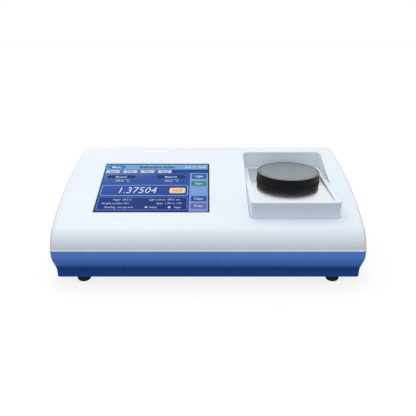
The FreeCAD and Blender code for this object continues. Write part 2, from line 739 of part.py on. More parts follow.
def make_display_gasket():
    """Foam frame between the glass, the cover and the display module."""
    outer = middle_box(DISPLAY_X, DISPLAY_UP, MODULE_W, MODULE_H, MODULE_TOP, MODULE_TOP + GASKET_T)
    inner = middle_box(DISPLAY_X, DISPLAY_UP, DISPLAY_W - 2 * GASKET_LAP, DISPLAY_H - 2 * GASKET_LAP,
                       MODULE_TOP - OVERRUN, MODULE_TOP + GASKET_T + OVERRUN)
    return on_slope(cut(outer, [inner]))


def make_display_module():
    """Liquid crystal display in its metal case, with the lower step of the case on its back."""
    case = middle_box(DISPLAY_X, DISPLAY_UP, MODULE_W, MODULE_H,
                      MODULE_TOP - MODULE_T + MODULE_STEP, MODULE_TOP)
    step = middle_box(DISPLAY_X, DISPLAY_UP, MODULE_W - 2 * MODULE_RIM, MODULE_H - 2 * MODULE_RIM,
                      MODULE_TOP - MODULE_T, MODULE_TOP)
    return on_slope(union([case, step]))


def make_display_bracket():
    """Sheet metal cross frame that holds the display module up against the cover."""
    top = MODULE_TOP - MODULE_T
    low = top - BRACKET_T
    width = MODULE_W + 2 * BRACKET_EAR
    climb = MODULE_H / 2 * DISPLAY_POST_SHARE
    out = MODULE_W * BRACKET_BAR_SHARE
    bars = []
    for side in (1, -1):
        bars.append(middle_box(DISPLAY_X, DISPLAY_UP + side * climb, width, BRACKET_BAR, low, top))
        bars.append(middle_box(DISPLAY_X + side * out, DISPLAY_UP, BRACKET_BAR, 2 * climb, low, top))
    return on_slope(union(bars))


def make_sample_tray():
    """White tray: outer walls down to the well's ledge, a broad rim and a shallow pan with a window."""
    outside = well_plate(0, TRAY_FOOT_Z, RIM_Z)
    rim = [edge for edge in outside.Edges if edge.BoundBox.ZMin > RIM_Z - FIT]
    outside = outside.makeChamfer(RIM_EDGE_R, rim)
    shell = cut(outside, [well_plate(-TRAY_WALL, TRAY_FOOT_Z - OVERRUN, RIM_Z - TRAY_WALL)])
    pan_w = TRAY_W - 2 * RIM_W
    pan_d = TRAY_D - 2 * RIM_W
    thick = 2 * TRAY_WALL
    pan = rounded_plate(TRAY_X, TRAY_Y, pan_w + thick, pan_d + thick, PAN_R + TRAY_WALL,
                        PAN_Z - TRAY_WALL, RIM_Z - TRAY_WALL)
    bosses = [post(x, y, TRAY_FOOT_Z, RIM_Z - TRAY_WALL, TRAY_BOSS_R) for x, y in tray_screw_places()]
    shell = union([shell, pan] + bosses)
    tools = [rounded_plate(TRAY_X, TRAY_Y, pan_w, pan_d, PAN_R, PAN_Z, RIM_Z + OVERRUN)]
    tools.append(rod(HEAD_X, HEAD_Y, PAN_Z - TRAY_WALL - OVERRUN, RIM_Z, PAN_WINDOW_R))
    for x, y in tray_screw_places():
        tools.append(screw_hole(x, y, TRAY_FOOT_Z - OVERRUN, LEDGE_Z + SHANK_L + FIT, SHANK_R))
    return cut(shell, tools)


def make_tray_screws():
    return group([screw(x, y, LEDGE_Z, SHANK_L) for x, y in tray_screw_places()])


def make_sample_plate():
    """Polished steel plate that lies in the tray's pan round the prism ring."""
    width = TRAY_W - 2 * RIM_W - 2 * PLATE_GAP
    depth = TRAY_D - 2 * RIM_W - 2 * PLATE_GAP
    plate = rounded_plate(TRAY_X, TRAY_Y, width, depth, PAN_R - PLATE_GAP, PAN_Z, PLATE_Z)
    return cut(plate, [rod(HEAD_X, HEAD_Y, PAN_Z - OVERRUN, PLATE_Z + OVERRUN, RING_BODY_R + RING_BODY_GAP)])


def make_prism_ring():
    """Steel ring whose conical dish holds the sample over the prism's face."""
    top = PLATE_Z + RING_FLANGE_H
    dish = PLATE_Z - DISH_DEPTH
    low = FACE_Z + SEAL_MINOR_R
    bevel = RING_FLANGE_H / 2
    outline = [
        (DISH_R, top),
        (RING_FLANGE_R - bevel, top),
        (RING_FLANGE_R, PLATE_Z + bevel),
        (RING_FLANGE_R, PLATE_Z),
        (RING_BODY_R, PLATE_Z),
        (RING_BODY_R, RING_Z),
        (RING_BORE_R, RING_Z),
        (RING_BORE_R, low),
        (DISH_BOTTOM_R, low),
        (DISH_BOTTOM_R, dish),
    ]
    return revolved(HEAD_X, HEAD_Y, outline)


def make_prism_seal():
    """Flat seal between the ring and the edge of the prism's face."""
    width = 2 * facet_half(PRISM_FACET, FACE_Z)
    disc = middle_box(HEAD_X, HEAD_Y, width, PRISM_D, FACE_Z, FACE_Z + SEAL_MINOR_R)
    disc = disc.common(rod(HEAD_X, HEAD_Y, FACE_Z, RING_Z + RING_DEPTH, RING_BORE_R))
    hole = rod(HEAD_X, HEAD_Y, FACE_Z - OVERRUN, FACE_Z + OVERRUN, PRISM_D / 2 - SEAL_MINOR_R)
    return cut(disc, [hole])


def facet_half(distance, z):
    """Half width, at height z, of a keystone whose slanted faces lie square to the arms."""
    lean = math.radians(ARM_DEG)
    return (distance - (FACE_Z - z) * math.cos(lean)) / math.sin(lean)


def keystone(distance, z0, z1, depth):
    corners = []
    for side, z in ((-1, z0), (1, z0), (1, z1), (-1, z1)):
        corners.append(Vector(HEAD_X + side * facet_half(distance, z), HEAD_Y - depth / 2, z))
    face = Part.Face(Part.makePolygon(corners + corners[:1]))
    return face.extrude(Vector(0, depth, 0))


def make_prism():
    """Measuring prism: its level top is the face that the sample lies on."""
    return keystone(PRISM_FACET, FACE_Z - PRISM_H, FACE_Z, PRISM_D)


def make_prism_block():
    """Aluminium block that holds the prism, with a pocket, two light bores and ears for its frame."""
    block = keystone(BLOCK_FACET, BLOCK_Z, RING_Z, BLOCK_D)
    ears = middle_box(HEAD_X, HEAD_Y, EAR_W, 2 * FRAME_HALF, EAR_Z, RING_Z)
    solid = union([block, ears])
    tools = [keystone(PRISM_FACET + FIT, FACE_Z - PRISM_H - FIT, RING_Z + OVERRUN, PRISM_D + 2 * FIT)]
    for side in (1, -1):
        tools.append(on_arm(rod(0, 0, PRISM_FACET / 2, BLOCK_FACET + OVERRUN, BEAM_R), side))
    probe_z = BLOCK_Z + PROBE_HEIGHT
    tools.append(along_y(rod(0, 0, 0, PROBE_L + FIT, PROBE_R + FIT), HEAD_X, HEAD_Y - BLOCK_D / 2, probe_z))
    return cut(solid, tools)


def make_temperature_probe():
    """Steel sheath of the temperature sensor, in a hole in the front of the block."""
    return along_y(rod(0, 0, 0, PROBE_L, PROBE_R), HEAD_X, HEAD_Y - BLOCK_D / 2, BLOCK_Z + PROBE_HEIGHT)


def make_arm_tube(side):
    """Black tube that screws to a slanted face of the block, with a shoulder that the lens sits on."""
    end = BLOCK_FACET + TUBE_L
    seat = BLOCK_FACET + LENS_PLACE
    tube = rod(0, 0, BLOCK_FACET, end, TUBE_R)
    tools = [rod(0, 0, BLOCK_FACET - OVERRUN, end + OVERRUN, TUBE_BORE_R - LENS_SHOULDER),
             rod(0, 0, seat, end + OVERRUN, TUBE_BORE_R)]
    return on_arm(cut(tube, tools), side)


def make_lens(side):
    """Small lens, pressed in its tube; its edge is ground to a bevel."""
    seat = BLOCK_FACET + LENS_PLACE
    disc = rod(0, 0, seat, seat + LENS_T, TUBE_BORE_R - FIT)
    rim = [edge for edge in disc.Edges if edge.BoundBox.ZMin > seat + LENS_T / 2]
    return on_arm(disc.makeChamfer(LENS_BEVEL, rim), side)


def make_arm_board(side, chip):
    """Small board on the end of an arm, with its lamp or sensor looking up the tube."""
    end = BLOCK_FACET + TUBE_L
    board = middle_box(0, 0, BOARD_L, BOARD_W, end, end + BOARD_T)
    return on_arm(union([board, chip(end)]), side)


def lamp_chip(z):
    lamp = rod(0, 0, z - 2 * LED_R, z, LED_R)
    tip = [edge for edge in lamp.Edges if edge.BoundBox.ZMax < z - LED_R]
    return lamp.makeChamfer(LED_R * LAMP_TIP_SHARE, tip)


def sensor_chip(z):
    return middle_box(0, 0, CHIP_SIZE, CHIP_SIZE, z - CHIP_T, z)


def make_thermoelectric_module():
    """Two ceramic plates with a block of cells between them."""
    plates = [middle_box(HEAD_X, HEAD_Y, MODULE_SIDE, MODULE_SIDE, z, z + PELTIER_PLATE_T)
              for z in (SINK_Z, BLOCK_Z - PELTIER_PLATE_T)]
    cells = middle_box(HEAD_X, HEAD_Y, MODULE_SIDE - 2 * PELTIER_PLATE_T, MODULE_SIDE - 2 * PELTIER_PLATE_T,
                       SINK_Z, BLOCK_Z)
    return union(plates + [cells])


def make_heat_sink():
    """Extruded aluminium sink with its fins hanging down over the fan."""
    plate = middle_box(HEAD_X, HEAD_Y, SINK_SIDE, SINK_SIDE, SINK_Z - SINK_PLATE_T, SINK_Z)
    pitch = (SINK_SIDE - FIN_T) / (FIN_COUNT - 1)
    first = HEAD_X - (SINK_SIDE - FIN_T) / 2
    fins = [middle_box(first + index * pitch, HEAD_Y, FIN_T, SINK_SIDE, FAN_TOP_Z, SINK_Z - SINK_PLATE_T)
            for index in range(FIN_COUNT)]
    return union([plate] + fins)


def make_fan_frame():
    """Square fan frame: round duct, corner holes, and a hub plate on struts with the bearing tube."""
    frame = rounded_plate(HEAD_X, HEAD_Y, SINK_SIDE, SINK_SIDE, FAN_CORNER_R, FAN_Z, FAN_TOP_Z)
    frame = cut(frame, [rod(HEAD_X, HEAD_Y, FAN_Z - OVERRUN, FAN_TOP_Z + OVERRUN, FAN_BORE_R)])
    struts = []
    for index in range(STRUT_COUNT):
        strut = middle_box(HEAD_X + FAN_BORE_R / 2, HEAD_Y, FAN_BORE_R + OVERRUN, STRUT_W,
                           FAN_Z, FAN_Z + STRUT_T)
        strut.rotate(Vector(HEAD_X, HEAD_Y, 0), Vector(0, 0, 1), 360 * index / STRUT_COUNT)
        struts.append(strut)
    hub = rod(HEAD_X, HEAD_Y, FAN_Z, FAN_Z + STRUT_T, HUB_PLATE_R)
    bearing = rod(HEAD_X, HEAD_Y, FAN_Z, hub_top() - HUB_WALL - HUB_FLOOR_GAP, BEARING_R)
    frame = union([frame, hub, bearing] + struts)
    tools = [rod(HEAD_X, HEAD_Y, FAN_Z + STRUT_T / 2, FAN_TOP_Z, BEARING_BORE_R)]
    for x, y in fan_screw_places():
        tools.append(screw_hole(x, y, FAN_Z - OVERRUN, FAN_TOP_Z + OVERRUN, FAN_HOLE_R))
    return cut(frame, tools)


def hub_top():
    return FAN_TOP_Z - HUB_TOP_GAP


def make_fan_stator():
    """Wound iron core on the bearing tube, inside the rotor's hub."""
    z0 = FAN_Z + STRUT_T
    z1 = z0 + STATOR_H
    core = rod(HEAD_X, HEAD_Y, z0, z1, STATOR_R / 2)
    poles = []
    for index in range(POLE_COUNT):
        pole = middle_box(HEAD_X + STATOR_R / 2, HEAD_Y, STATOR_R, POLE_W, z0, z1)
        pole.rotate(Vector(HEAD_X, HEAD_Y, 0), Vector(0, 0, 1), 360 * (index + 0.5) / POLE_COUNT)
        poles.append(pole)
    poles = union([core] + poles).common(rod(HEAD_X, HEAD_Y, z0, z1, STATOR_R))
    return cut(poles, [rod(HEAD_X, HEAD_Y, z0 - OVERRUN, z1 + OVERRUN, BEARING_R + FIT)])


def fan_blade():
    """Slanted flat blade, drawn along +X from the hub's wall out to past the tip circle."""
    middle = hub_top() - HUB_TOP_GAP - BLADE_RISE / 2
    half = BLADE_T / 2
    rise = BLADE_RISE / 2
    start = HUB_R - HUB_WALL
    corners = [
        Vector(start, -BLADE_SWING - half, middle - rise),
        Vector(start, -BLADE_SWING + half, middle - rise),
        Vector(start, BLADE_SWING + half, middle + rise),
        Vector(start, BLADE_SWING - half, middle + rise),
    ]
    return Part.Face(Part.makePolygon(corners + corners[:1])).extrude(Vector(BLADE_R - start, 0, 0))


def make_fan_rotor():
    """Cup-shaped hub with slanted blades, on a shaft that runs in the bearing tube."""
    top = hub_top()
    low = FAN_Z + STRUT_T + HUB_FLOOR_GAP
    hub = cut(rod(HEAD_X, HEAD_Y, low, top, HUB_R),
              [rod(HEAD_X, HEAD_Y, low - OVERRUN, top - HUB_WALL, HUB_R - HUB_WALL)])
    shaft = rod(HEAD_X, HEAD_Y, FAN_Z + STRUT_T, top - HUB_WALL / 2, SHAFT_R)
    blades = []
    for index in range(BLADE_COUNT):
        blade = fan_blade()
        blade.rotate(Vector(0, 0, 0), Vector(0, 0, 1), 360 * index / BLADE_COUNT)
        blade.translate(Vector(HEAD_X, HEAD_Y, 0))
        blades.append(blade)
    sweep = cut(rod(HEAD_X, HEAD_Y, low, top, BLADE_R),
                [rod(HEAD_X, HEAD_Y, low - OVERRUN, top + OVERRUN, HUB_R - HUB_WALL / 2)])
    return union([hub, shaft] + [blade.common(sweep) for blade in blades])


def make_head_frame():
    """Two bent legs that stand on the base's floor and carry the prism block by its ears."""
    legs = []
    for way in (1, -1):
        outer = HEAD_Y + way * FRAME_HALF
        wall_y = outer - way * FRAME_T / 2
        legs.append(union([
            middle_box(HEAD_X, wall_y, FRAME_W, FRAME_T, FLOOR_Z, EAR_Z),
            middle_box(HEAD_X, outer - way * FRAME_FLANGE / 2, FRAME_W, FRAME_FLANGE, EAR_Z - FRAME_T, EAR_Z),
            middle_box(HEAD_X, outer - way * (FRAME_T - FRAME_TOE) / 2, FRAME_W, FRAME_T + FRAME_TOE,
                       FLOOR_Z, FLOOR_Z + FRAME_T)]))
    return group(legs)


def make_main_board():
    """Main circuit board with its larger components."""
    board = middle_box(MAIN_X, MAIN_Y, MAIN_W, MAIN_D, MAIN_Z, MAIN_Z + PCB_T)
    parts = [board]
    for x_share, y_share, w_share, d_share, height in COMPONENT_SHARES:
        parts.append(middle_box(MAIN_X + x_share * MAIN_W, MAIN_Y + y_share * MAIN_D, w_share * MAIN_W,
                                d_share * MAIN_D, MAIN_Z, MAIN_Z + PCB_T + height * CHIP_HEIGHT))
    return union(parts)


def make_power_supply():
    """Open power supply: board, transformer, smoothing cans and a heat spreader."""
    board = middle_box(SUPPLY_X, SUPPLY_Y, SUPPLY_W, SUPPLY_D, MAIN_Z, MAIN_Z + PCB_T)
    side = SUPPLY_W / SUPPLY_THIRDS
    block = side + SUPPLY_CAN_R
    transformer = middle_box(SUPPLY_X, SUPPLY_Y, block, block, MAIN_Z, MAIN_Z + side)
    spreader = middle_box(SUPPLY_X - side, SUPPLY_Y, FRAME_T, SUPPLY_D / 2, MAIN_Z, MAIN_Z + side)
    out = SUPPLY_CAN_R * SUPPLY_CAN_SHARE
    can_y = SUPPLY_Y - SUPPLY_D / SUPPLY_THIRDS
    cans = [rod(SUPPLY_X + way * out, can_y, MAIN_Z, MAIN_Z + side, SUPPLY_CAN_R) for way in (1, -1)]
    return union([board, transformer, spreader] + cans)


def standoff_places():
    return board_posts(MAIN_X, MAIN_Y, MAIN_W, MAIN_D) + board_posts(SUPPLY_X, SUPPLY_Y, SUPPLY_W, SUPPLY_D)


def make_standoffs():
    """Six-sided pillars between the base's floor and the boards."""
    return group([prism_rod(x, y, FLOOR_Z, MAIN_Z, STANDOFF_R, STANDOFF_SIDES) for x, y in standoff_places()])


def make_display_ribbon():
    """Flat cable that hangs from the display's socket straight down to its socket on the main board."""
    x = MAIN_X + RIBBON_X_SHARE * MAIN_W
    y = MAIN_Y + RIBBON_Y_SHARE * MAIN_D
    board_top = MAIN_Z + PCB_T
    module_low = slope_z(y) + (MODULE_TOP - MODULE_T) / math.cos(SLOPE)
    plug = middle_box(x, y, PLUG_W, PLUG_D, board_top, board_top + PLUG_H)
    ribbon = middle_box(x, y, RIBBON_W, RIBBON_T, board_top + PLUG_H, module_low + PLUG_H)
    above = on_slope(middle_box(x, 0, PLUG_W + PLUG_D, 2 * HALF_DEPTH, MODULE_TOP - MODULE_T, SKY))
    return cut(union([plug, ribbon]), [above])


def rear_frame(x, height):
    """Placement whose +Z points out of the back panel at x and height."""
    return Placement(Vector(x, BAY_Y, height), Rotation(Vector(1, 0, 0), -90))


def port_height(size):
    return MAIN_Z + PCB_T + PORT_LIFT + size / 2


def make_rear_panel():
    """Aluminium panel at the bottom of the connector bay, with an opening for each connector."""
    panel = box(BAY_X0 - PANEL_LAP, BAY_X1 + PANEL_LAP, BAY_Y - PANEL_T, BAY_Y,
                BAY_Z0 - PANEL_LAP, BAY_Z1 + PANEL_LAP)
    gap = 2 * FIT
    deep = PANEL_T + 2 * OVERRUN
    openings = [(INLET_X, INLET_Z, INLET_W, INLET_H), (SWITCH_X, INLET_Z, SWITCH_W, SWITCH_H),
                (SERIAL_X, port_height(SERIAL_H), SERIAL_SHELL_W, SERIAL_SHELL_H)]
    for index in range(USB_COUNT):
        openings.append((USB_X + index * USB_PITCH, port_height(USB_H), USB_W, USB_H))
    tools = []
    for x, z, width, height in openings:
        opening = middle_box(0, 0, width + gap, height + gap, 0, deep)
        tools.append(along_y(opening, x, BAY_Y - PANEL_T - OVERRUN, z))
    return cut(panel, tools)


def make_power_inlet():
    """Moulded mains inlet: flange, body and the socket that the plug goes into."""
    flange = rounded_plate(0, 0, INLET_FLANGE_W, INLET_FLANGE_H, PAN_R, 0, INLET_FLANGE_T)
    body = middle_box(0, 0, INLET_W, INLET_H, -INLET_D, 0)
    socket = rounded_plate(0, 0, INLET_W - 2 * INLET_WALL, INLET_H - 2 * INLET_WALL, PAN_R,
                           INLET_FLOOR - INLET_D, INLET_FLANGE_T + OVERRUN)
    slots = [middle_box(x, y, PIN_W + 2 * FIT, PIN_H + 2 * FIT, -INLET_D - OVERRUN, INLET_FLANGE_T)
             for x, y in pin_places()]
    inlet = cut(union([flange, body]), [socket] + slots)
    inlet.Placement = rear_frame(INLET_X, INLET_Z)
    return inlet


def pin_places():
    """The three pins, seen in the panel's own plane, where y counts downwards."""
    return [(-PIN_SIDE, PIN_DROP), (0, -PIN_DROP), (PIN_SIDE, PIN_DROP)]


def make_inlet_pins():
    pins = []
    for x, y in pin_places():
        low = INLET_FLOOR - INLET_D
        pin = middle_box(x, y, PIN_W, PIN_H, -INLET_D, low + PIN_REACH)
        tab = middle_box(x, y, TAB_W, TAB_H, -INLET_D - TAB_L, -INLET_D)
        pins.append(union([pin, tab]))
    pins = group(pins)
    pins.Placement = rear_frame(INLET_X, INLET_Z)
    return pins


def make_switch_frame():
    """Snap-in frame of the power switch, open at the back of the instrument."""
    rim_w = SWITCH_W + 2 * SWITCH_RIM
    rim_h = SWITCH_H + 2 * SWITCH_RIM
    rim = rounded_plate(0, 0, rim_w, rim_h, SWITCH_RIM, 0, SWITCH_RIM_T)
    body = middle_box(0, 0, SWITCH_W, SWITCH_H, -SWITCH_D, 0)
    hollow = middle_box(0, 0, SWITCH_W - 2 * SWITCH_WALL, SWITCH_H - 2 * SWITCH_WALL,
                        -SWITCH_D + SWITCH_WALL, SWITCH_RIM_T + OVERRUN)
    pivots = along_x(rod(0, 0, -SWITCH_H / 2 - FIT, SWITCH_H / 2 + FIT, ROCKER_PIN_R + FIT))
    frame = cut(union([rim, body]), [hollow, pivots])
    frame.Placement = rear_frame(SWITCH_X, INLET_Z)
    return frame


def along_x(shape):
    """Turns a rod drawn along +Z to lie along +Y of the panel's plane, at the rocker's pivot."""
    turned = shape.copy()
    turned.Placement = Placement(Vector(0, 0, rocker_pivot()), Rotation(Vector(1, 0, 0), -90))
    return turned


def rocker_pivot():
    return -ROCKER_PIN_R * 2


def make_switch_rocker():
    """Rocker with a hollow crown, tipped to its off side, on two stub pins."""
    half = SWITCH_H / 2 - SWITCH_WALL - ROCKER_GAP
    reach = ROCKER_R
    lean = reach * math.tan(math.radians(ROCKER_TILT_DEG))
    high = SWITCH_RIM_T + ROCKER_CROWN / 2
    points = [Vector(-reach, -half, -ROCKER_PIN_R * 3), Vector(reach, -half, -ROCKER_PIN_R * 3),
              Vector(reach, -half, high + lean)]
    crown = Part.Arc(points[-1], Vector(0, -half, high), Vector(-reach, -half, high + lean)).toShape()
    lines = [Part.makeLine(points[0], points[1]), Part.makeLine(points[1], points[2]), crown,
             Part.makeLine(crown.lastVertex().Point, points[0])]
    body = Part.Face(Part.Wire(lines)).extrude(Vector(0, 2 * half, 0))
    pins = along_x(rod(0, 0, -SWITCH_H / 2 + FIT, SWITCH_H / 2 - FIT, ROCKER_PIN_R))
    rocker = union([body, pins])
    rocker.rotate(Vector(0, 0, rocker_pivot()), Vector(0, 1, 0), ROCKER_TILT_DEG)
    rocker.Placement = rear_frame(SWITCH_X, INLET_Z).multiply(rocker.Placement)
    return rocker


def make_usb_ports():
    """Two folded steel shells on the main board, each with its tongue."""
    ports = []
    for index in range(USB_COUNT):
        shell = middle_box(0, 0, USB_W, USB_H, -USB_D, USB_OUT)
        inside = middle_box(0, 0, USB_W - 2 * USB_WALL, USB_H - 2 * USB_WALL,
                            -USB_D + USB_WALL, USB_OUT + OVERRUN)
        tongue = box(USB_WALL - USB_W / 2, USB_W / 2 - USB_WALL, -USB_TONGUE_T, 0, -USB_D, -USB_WALL)
        port = union([cut(shell, [inside]), tongue])
        port.Placement = rear_frame(USB_X + index * USB_PITCH, port_height(USB_H))
        ports.append(port)
    return group(ports)


def make_serial_port():
    """Nine-pole serial socket: plate behind the panel, tapered shell and body on the board."""
    plate = middle_box(0, 0, SERIAL_W, SERIAL_H, -PANEL_T - SERIAL_T, -PANEL_T)
    body = middle_box(0, 0, SERIAL_SHELL_W, SERIAL_SHELL_H, -SERIAL_D, -PANEL_T)
    narrow = SERIAL_SHELL_W / 2 - SERIAL_SHELL_H / 6
    wide = SERIAL_SHELL_W / 2
    tall = SERIAL_SHELL_H / 2
    corners = [Vector(-wide, -tall, -PANEL_T), Vector(wide, -tall, -PANEL_T),
               Vector(narrow, tall, -PANEL_T), Vector(-narrow, tall, -PANEL_T)]
    face = Part.Face(Part.makePolygon(corners + corners[:1]))
    shell = face.extrude(Vector(0, 0, PANEL_T + SERIAL_SHELL_OUT))
    port = union([plate, body, shell])
    port.Placement = rear_frame(SERIAL_X, port_height(SERIAL_H))
    return port


def make_cap():
    """Round black cap: hollow, with level ridges round its side."""
    top = CAP_TOP_Z
    edge = CAP_EDGE_R
    outline = [(0, top), (CAP_R - edge, top), (CAP_R, top - edge)]
    first = top - edge - RIDGE_PITCH / 2
    for index in range(RIDGE_COUNT):
        z = first - index * RIDGE_PITCH
        outline += [(CAP_R, z), (CAP_R - RIDGE_DEPTH, z - RIDGE_PITCH / 2)]
    outline.append((CAP_R, first - RIDGE_COUNT * RIDGE_PITCH))
    inner = CAP_R - CAP_WALL
    outline += [(CAP_R, CAP_BOTTOM_Z), (inner, CAP_BOTTOM_Z), (inner, top - CAP_WALL), (0, top - CAP_WALL)]
    return revolved(HEAD_X, HEAD_Y, outline)


def make_cap_seal():
    """Soft ring that the cap stands on, with a lip that grips the inside of its wall."""
    inner = CAP_R - CAP_WALL
    lip_top = CAP_BOTTOM_Z + CAP_SEAL_LIP_H
    outline = [
        (inner - CAP_SEAL_LIP_T, PLATE_Z),
        (CAP_SEAL_R, PLATE_Z),
        (CAP_SEAL_R, CAP_BOTTOM_Z),
        (inner - FIT, CAP_BOTTOM_Z),
        (inner - FIT, lip_top),
        (inner - CAP_SEAL_LIP_T, lip_top),
    ]
    return revolved(HEAD_X, HEAD_Y, outline)


def make_all():
    return {
        "top_cover": make_top_cover(),
        "base_housing": make_base_housing(),
        "rubber_feet": make_rubber_feet(),
        "foot_screws": make_foot_screws(),
        "cover_screws": make_cover_screws(),
        "touch_glass": make_touch_glass(),
        "display_gasket": make_display_gasket(),
        "display_module": make_display_module(),
        "display_bracket": make_display_bracket(),
        "display_ribbon": make_display_ribbon(),
        "sample_tray": make_sample_tray(),
        "tray_screws": make_tray_screws(),
        "sample_plate": make_sample_plate(),
        "prism_ring": make_prism_ring(),
        "prism_seal": make_prism_seal(),
        "prism": make_prism(),
        "prism_block": make_prism_block(),
        "temperature_probe": make_temperature_probe(),
        "lamp_tube": make_arm_tube(-1),
        "lamp_lens": make_lens(-1),
        "lamp_board": make_arm_board(-1, lamp_chip),
        "camera_tube": make_arm_tube(1),
        "camera_lens": make_lens(1),
        "sensor_board": make_arm_board(1, sensor_chip),
        "thermoelectric_module": make_thermoelectric_module(),
        "heat_sink": make_heat_sink(),
        "fan_frame": make_fan_frame(),
        "fan_stator": make_fan_stator(),
        "fan_rotor": make_fan_rotor(),
        "head_frame": make_head_frame(),
        "main_board": make_main_board(),
        "power_supply": make_power_supply(),
        "board_standoffs": make_standoffs(),
        "rear_panel": make_rear_panel(),
        "power_inlet": make_power_inlet(),
        "inlet_pins": make_inlet_pins(),
        "switch_frame": make_switch_frame(),
        "switch_rocker": make_switch_rocker(),
        "usb_ports": make_usb_ports(),
        "serial_port": make_serial_port(),
        "cap": make_cap(),
        "cap_seal": make_cap_seal(),
    }


os.makedirs("parts", exist_ok=True)
for name, shape in make_all().items():
    shape.exportStep("parts/" + name + ".step")
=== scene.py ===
import math

import bmesh
import bpy
import numpy as np
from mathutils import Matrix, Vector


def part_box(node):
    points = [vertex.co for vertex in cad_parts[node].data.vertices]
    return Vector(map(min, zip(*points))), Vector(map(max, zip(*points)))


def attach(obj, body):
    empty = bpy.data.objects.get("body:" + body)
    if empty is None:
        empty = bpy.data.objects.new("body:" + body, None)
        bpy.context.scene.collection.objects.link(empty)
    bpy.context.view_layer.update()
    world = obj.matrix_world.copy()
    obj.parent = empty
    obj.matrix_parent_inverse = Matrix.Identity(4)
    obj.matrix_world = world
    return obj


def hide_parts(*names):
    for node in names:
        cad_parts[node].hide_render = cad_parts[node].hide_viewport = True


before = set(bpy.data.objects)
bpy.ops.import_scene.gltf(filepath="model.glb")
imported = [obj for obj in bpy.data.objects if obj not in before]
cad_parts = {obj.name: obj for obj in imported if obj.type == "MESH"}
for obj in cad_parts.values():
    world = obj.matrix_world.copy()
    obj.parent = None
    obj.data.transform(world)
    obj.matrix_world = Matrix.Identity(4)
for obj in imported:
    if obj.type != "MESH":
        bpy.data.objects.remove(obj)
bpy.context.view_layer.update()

mm = 0.001


# Base housing.
# The blue lower half is injection moulded in ABS, with a fine spark-eroded skin. It draws in
# towards the bench, where painted shade darkens its blue, and everything inside stands on its
# floor.

noise_low = 0.3
noise_high = 0.7
sharp_edge = math.radians(28)
# Heights of the painted shade on the base: full below the first, gone above the second.
painted_shade_full_z = 24 * mm
painted_shade_gone_z = 33 * mm


def linear(red, green, blue):
    """Colour as the eye sees it, 0 to 255, turned to the light values that a shader takes."""
    shares = np.array([red, green, blue]) / 255
    return tuple(np.where(shares < 0.04045, shares / 12.92, ((shares + 0.055) / 1.055) ** 2.4))


def new_material(name, colour, roughness, metallic=0.0, gloss=0.5):
    """Starts a material and sets the values that are the same all over it."""
    material = bpy.data.materials.new(name)
    material.use_nodes = True
    tree = material.node_tree
    shader = tree.nodes["Principled BSDF"]
    shader.inputs["Base Color"].default_value = (*colour, 1)
    shader.inputs["Roughness"].default_value = roughness
    shader.inputs["Metallic"].default_value = metallic
    shader.inputs["Specular IOR Level"].default_value = gloss
    return material, tree, shader


def mottle(tree, scale, stretch=(1, 1, 1), detail=4.0):
    """Noise in the part's own coordinates, finer along the axes with the larger stretch."""
    place = tree.nodes.new("ShaderNodeTexCoord")
    mapping = tree.nodes.new("ShaderNodeMapping")
    mapping.inputs["Scale"].default_value = stretch
    noise = tree.nodes.new("ShaderNodeTexNoise")
    noise.inputs["Scale"].default_value = scale
    noise.inputs["Detail"].default_value = detail
    tree.links.new(place.outputs["Object"], mapping.inputs["Vector"])
    tree.links.new(mapping.outputs["Vector"], noise.inputs["Vector"])
    return noise.outputs["Fac"]


def spread(tree, pattern, socket, low, high):
    """Sends a pattern to a shader's socket, turned to values from low to high."""
    spreader = tree.nodes.new("ShaderNodeMapRange")
    spreader.inputs["From Min"].default_value = noise_low
    spreader.inputs["From Max"].default_value = noise_high
    spreader.inputs["To Min"].default_value = low
    spreader.inputs["To Max"].default_value = high
    tree.links.new(pattern, spreader.inputs["Value"])
    tree.links.new(spreader.outputs["Result"], socket)


def tint(tree, pattern, socket, dark, light):
    """Sends a pattern to a colour socket, from the dark colour to the light one."""
    ramp = tree.nodes.new("ShaderNodeValToRGB")
    ramp.color_ramp.elements[0].position = noise_low
    ramp.color_ramp.elements[0].color = (*dark, 1)
    ramp.color_ramp.elements[1].position = noise_high
    ramp.color_ramp.elements[1].color = (*light, 1)
    tree.links.new(pattern, ramp.inputs["Fac"])
    tree.links.new(ramp.outputs["Color"], socket)


def relief(tree, shader, pattern, depth):
    """Raises a pattern into a shallow relief of the given depth."""
    bump = tree.nodes.new("ShaderNodeBump")
    bump.inputs["Distance"].default_value = depth
    tree.links.new(pattern, bump.inputs["Height"])
    tree.links.new(bump.outputs["Normal"], shader.inputs["Normal"])


def moulded(name, colour, roughness, grain=2600, depth=0.02 * mm, gloss=0.5):
    """Moulded plastic: an even colour with a trace of cloud in it and a fine eroded skin."""
    material, tree, shader = new_material(name, colour, roughness, gloss=gloss)
    darker = tuple(value * 0.975 for value in colour)
    lighter = tuple(min(value * 1.02, 1) for value in colour)
    tint(tree, mottle(tree, 9), shader.inputs["Base Color"], darker, lighter)
    spread(tree, mottle(tree, 45), shader.inputs["Roughness"], roughness - 0.03, roughness + 0.03)
    relief(tree, shader, mottle(tree, grain), depth)
    return material


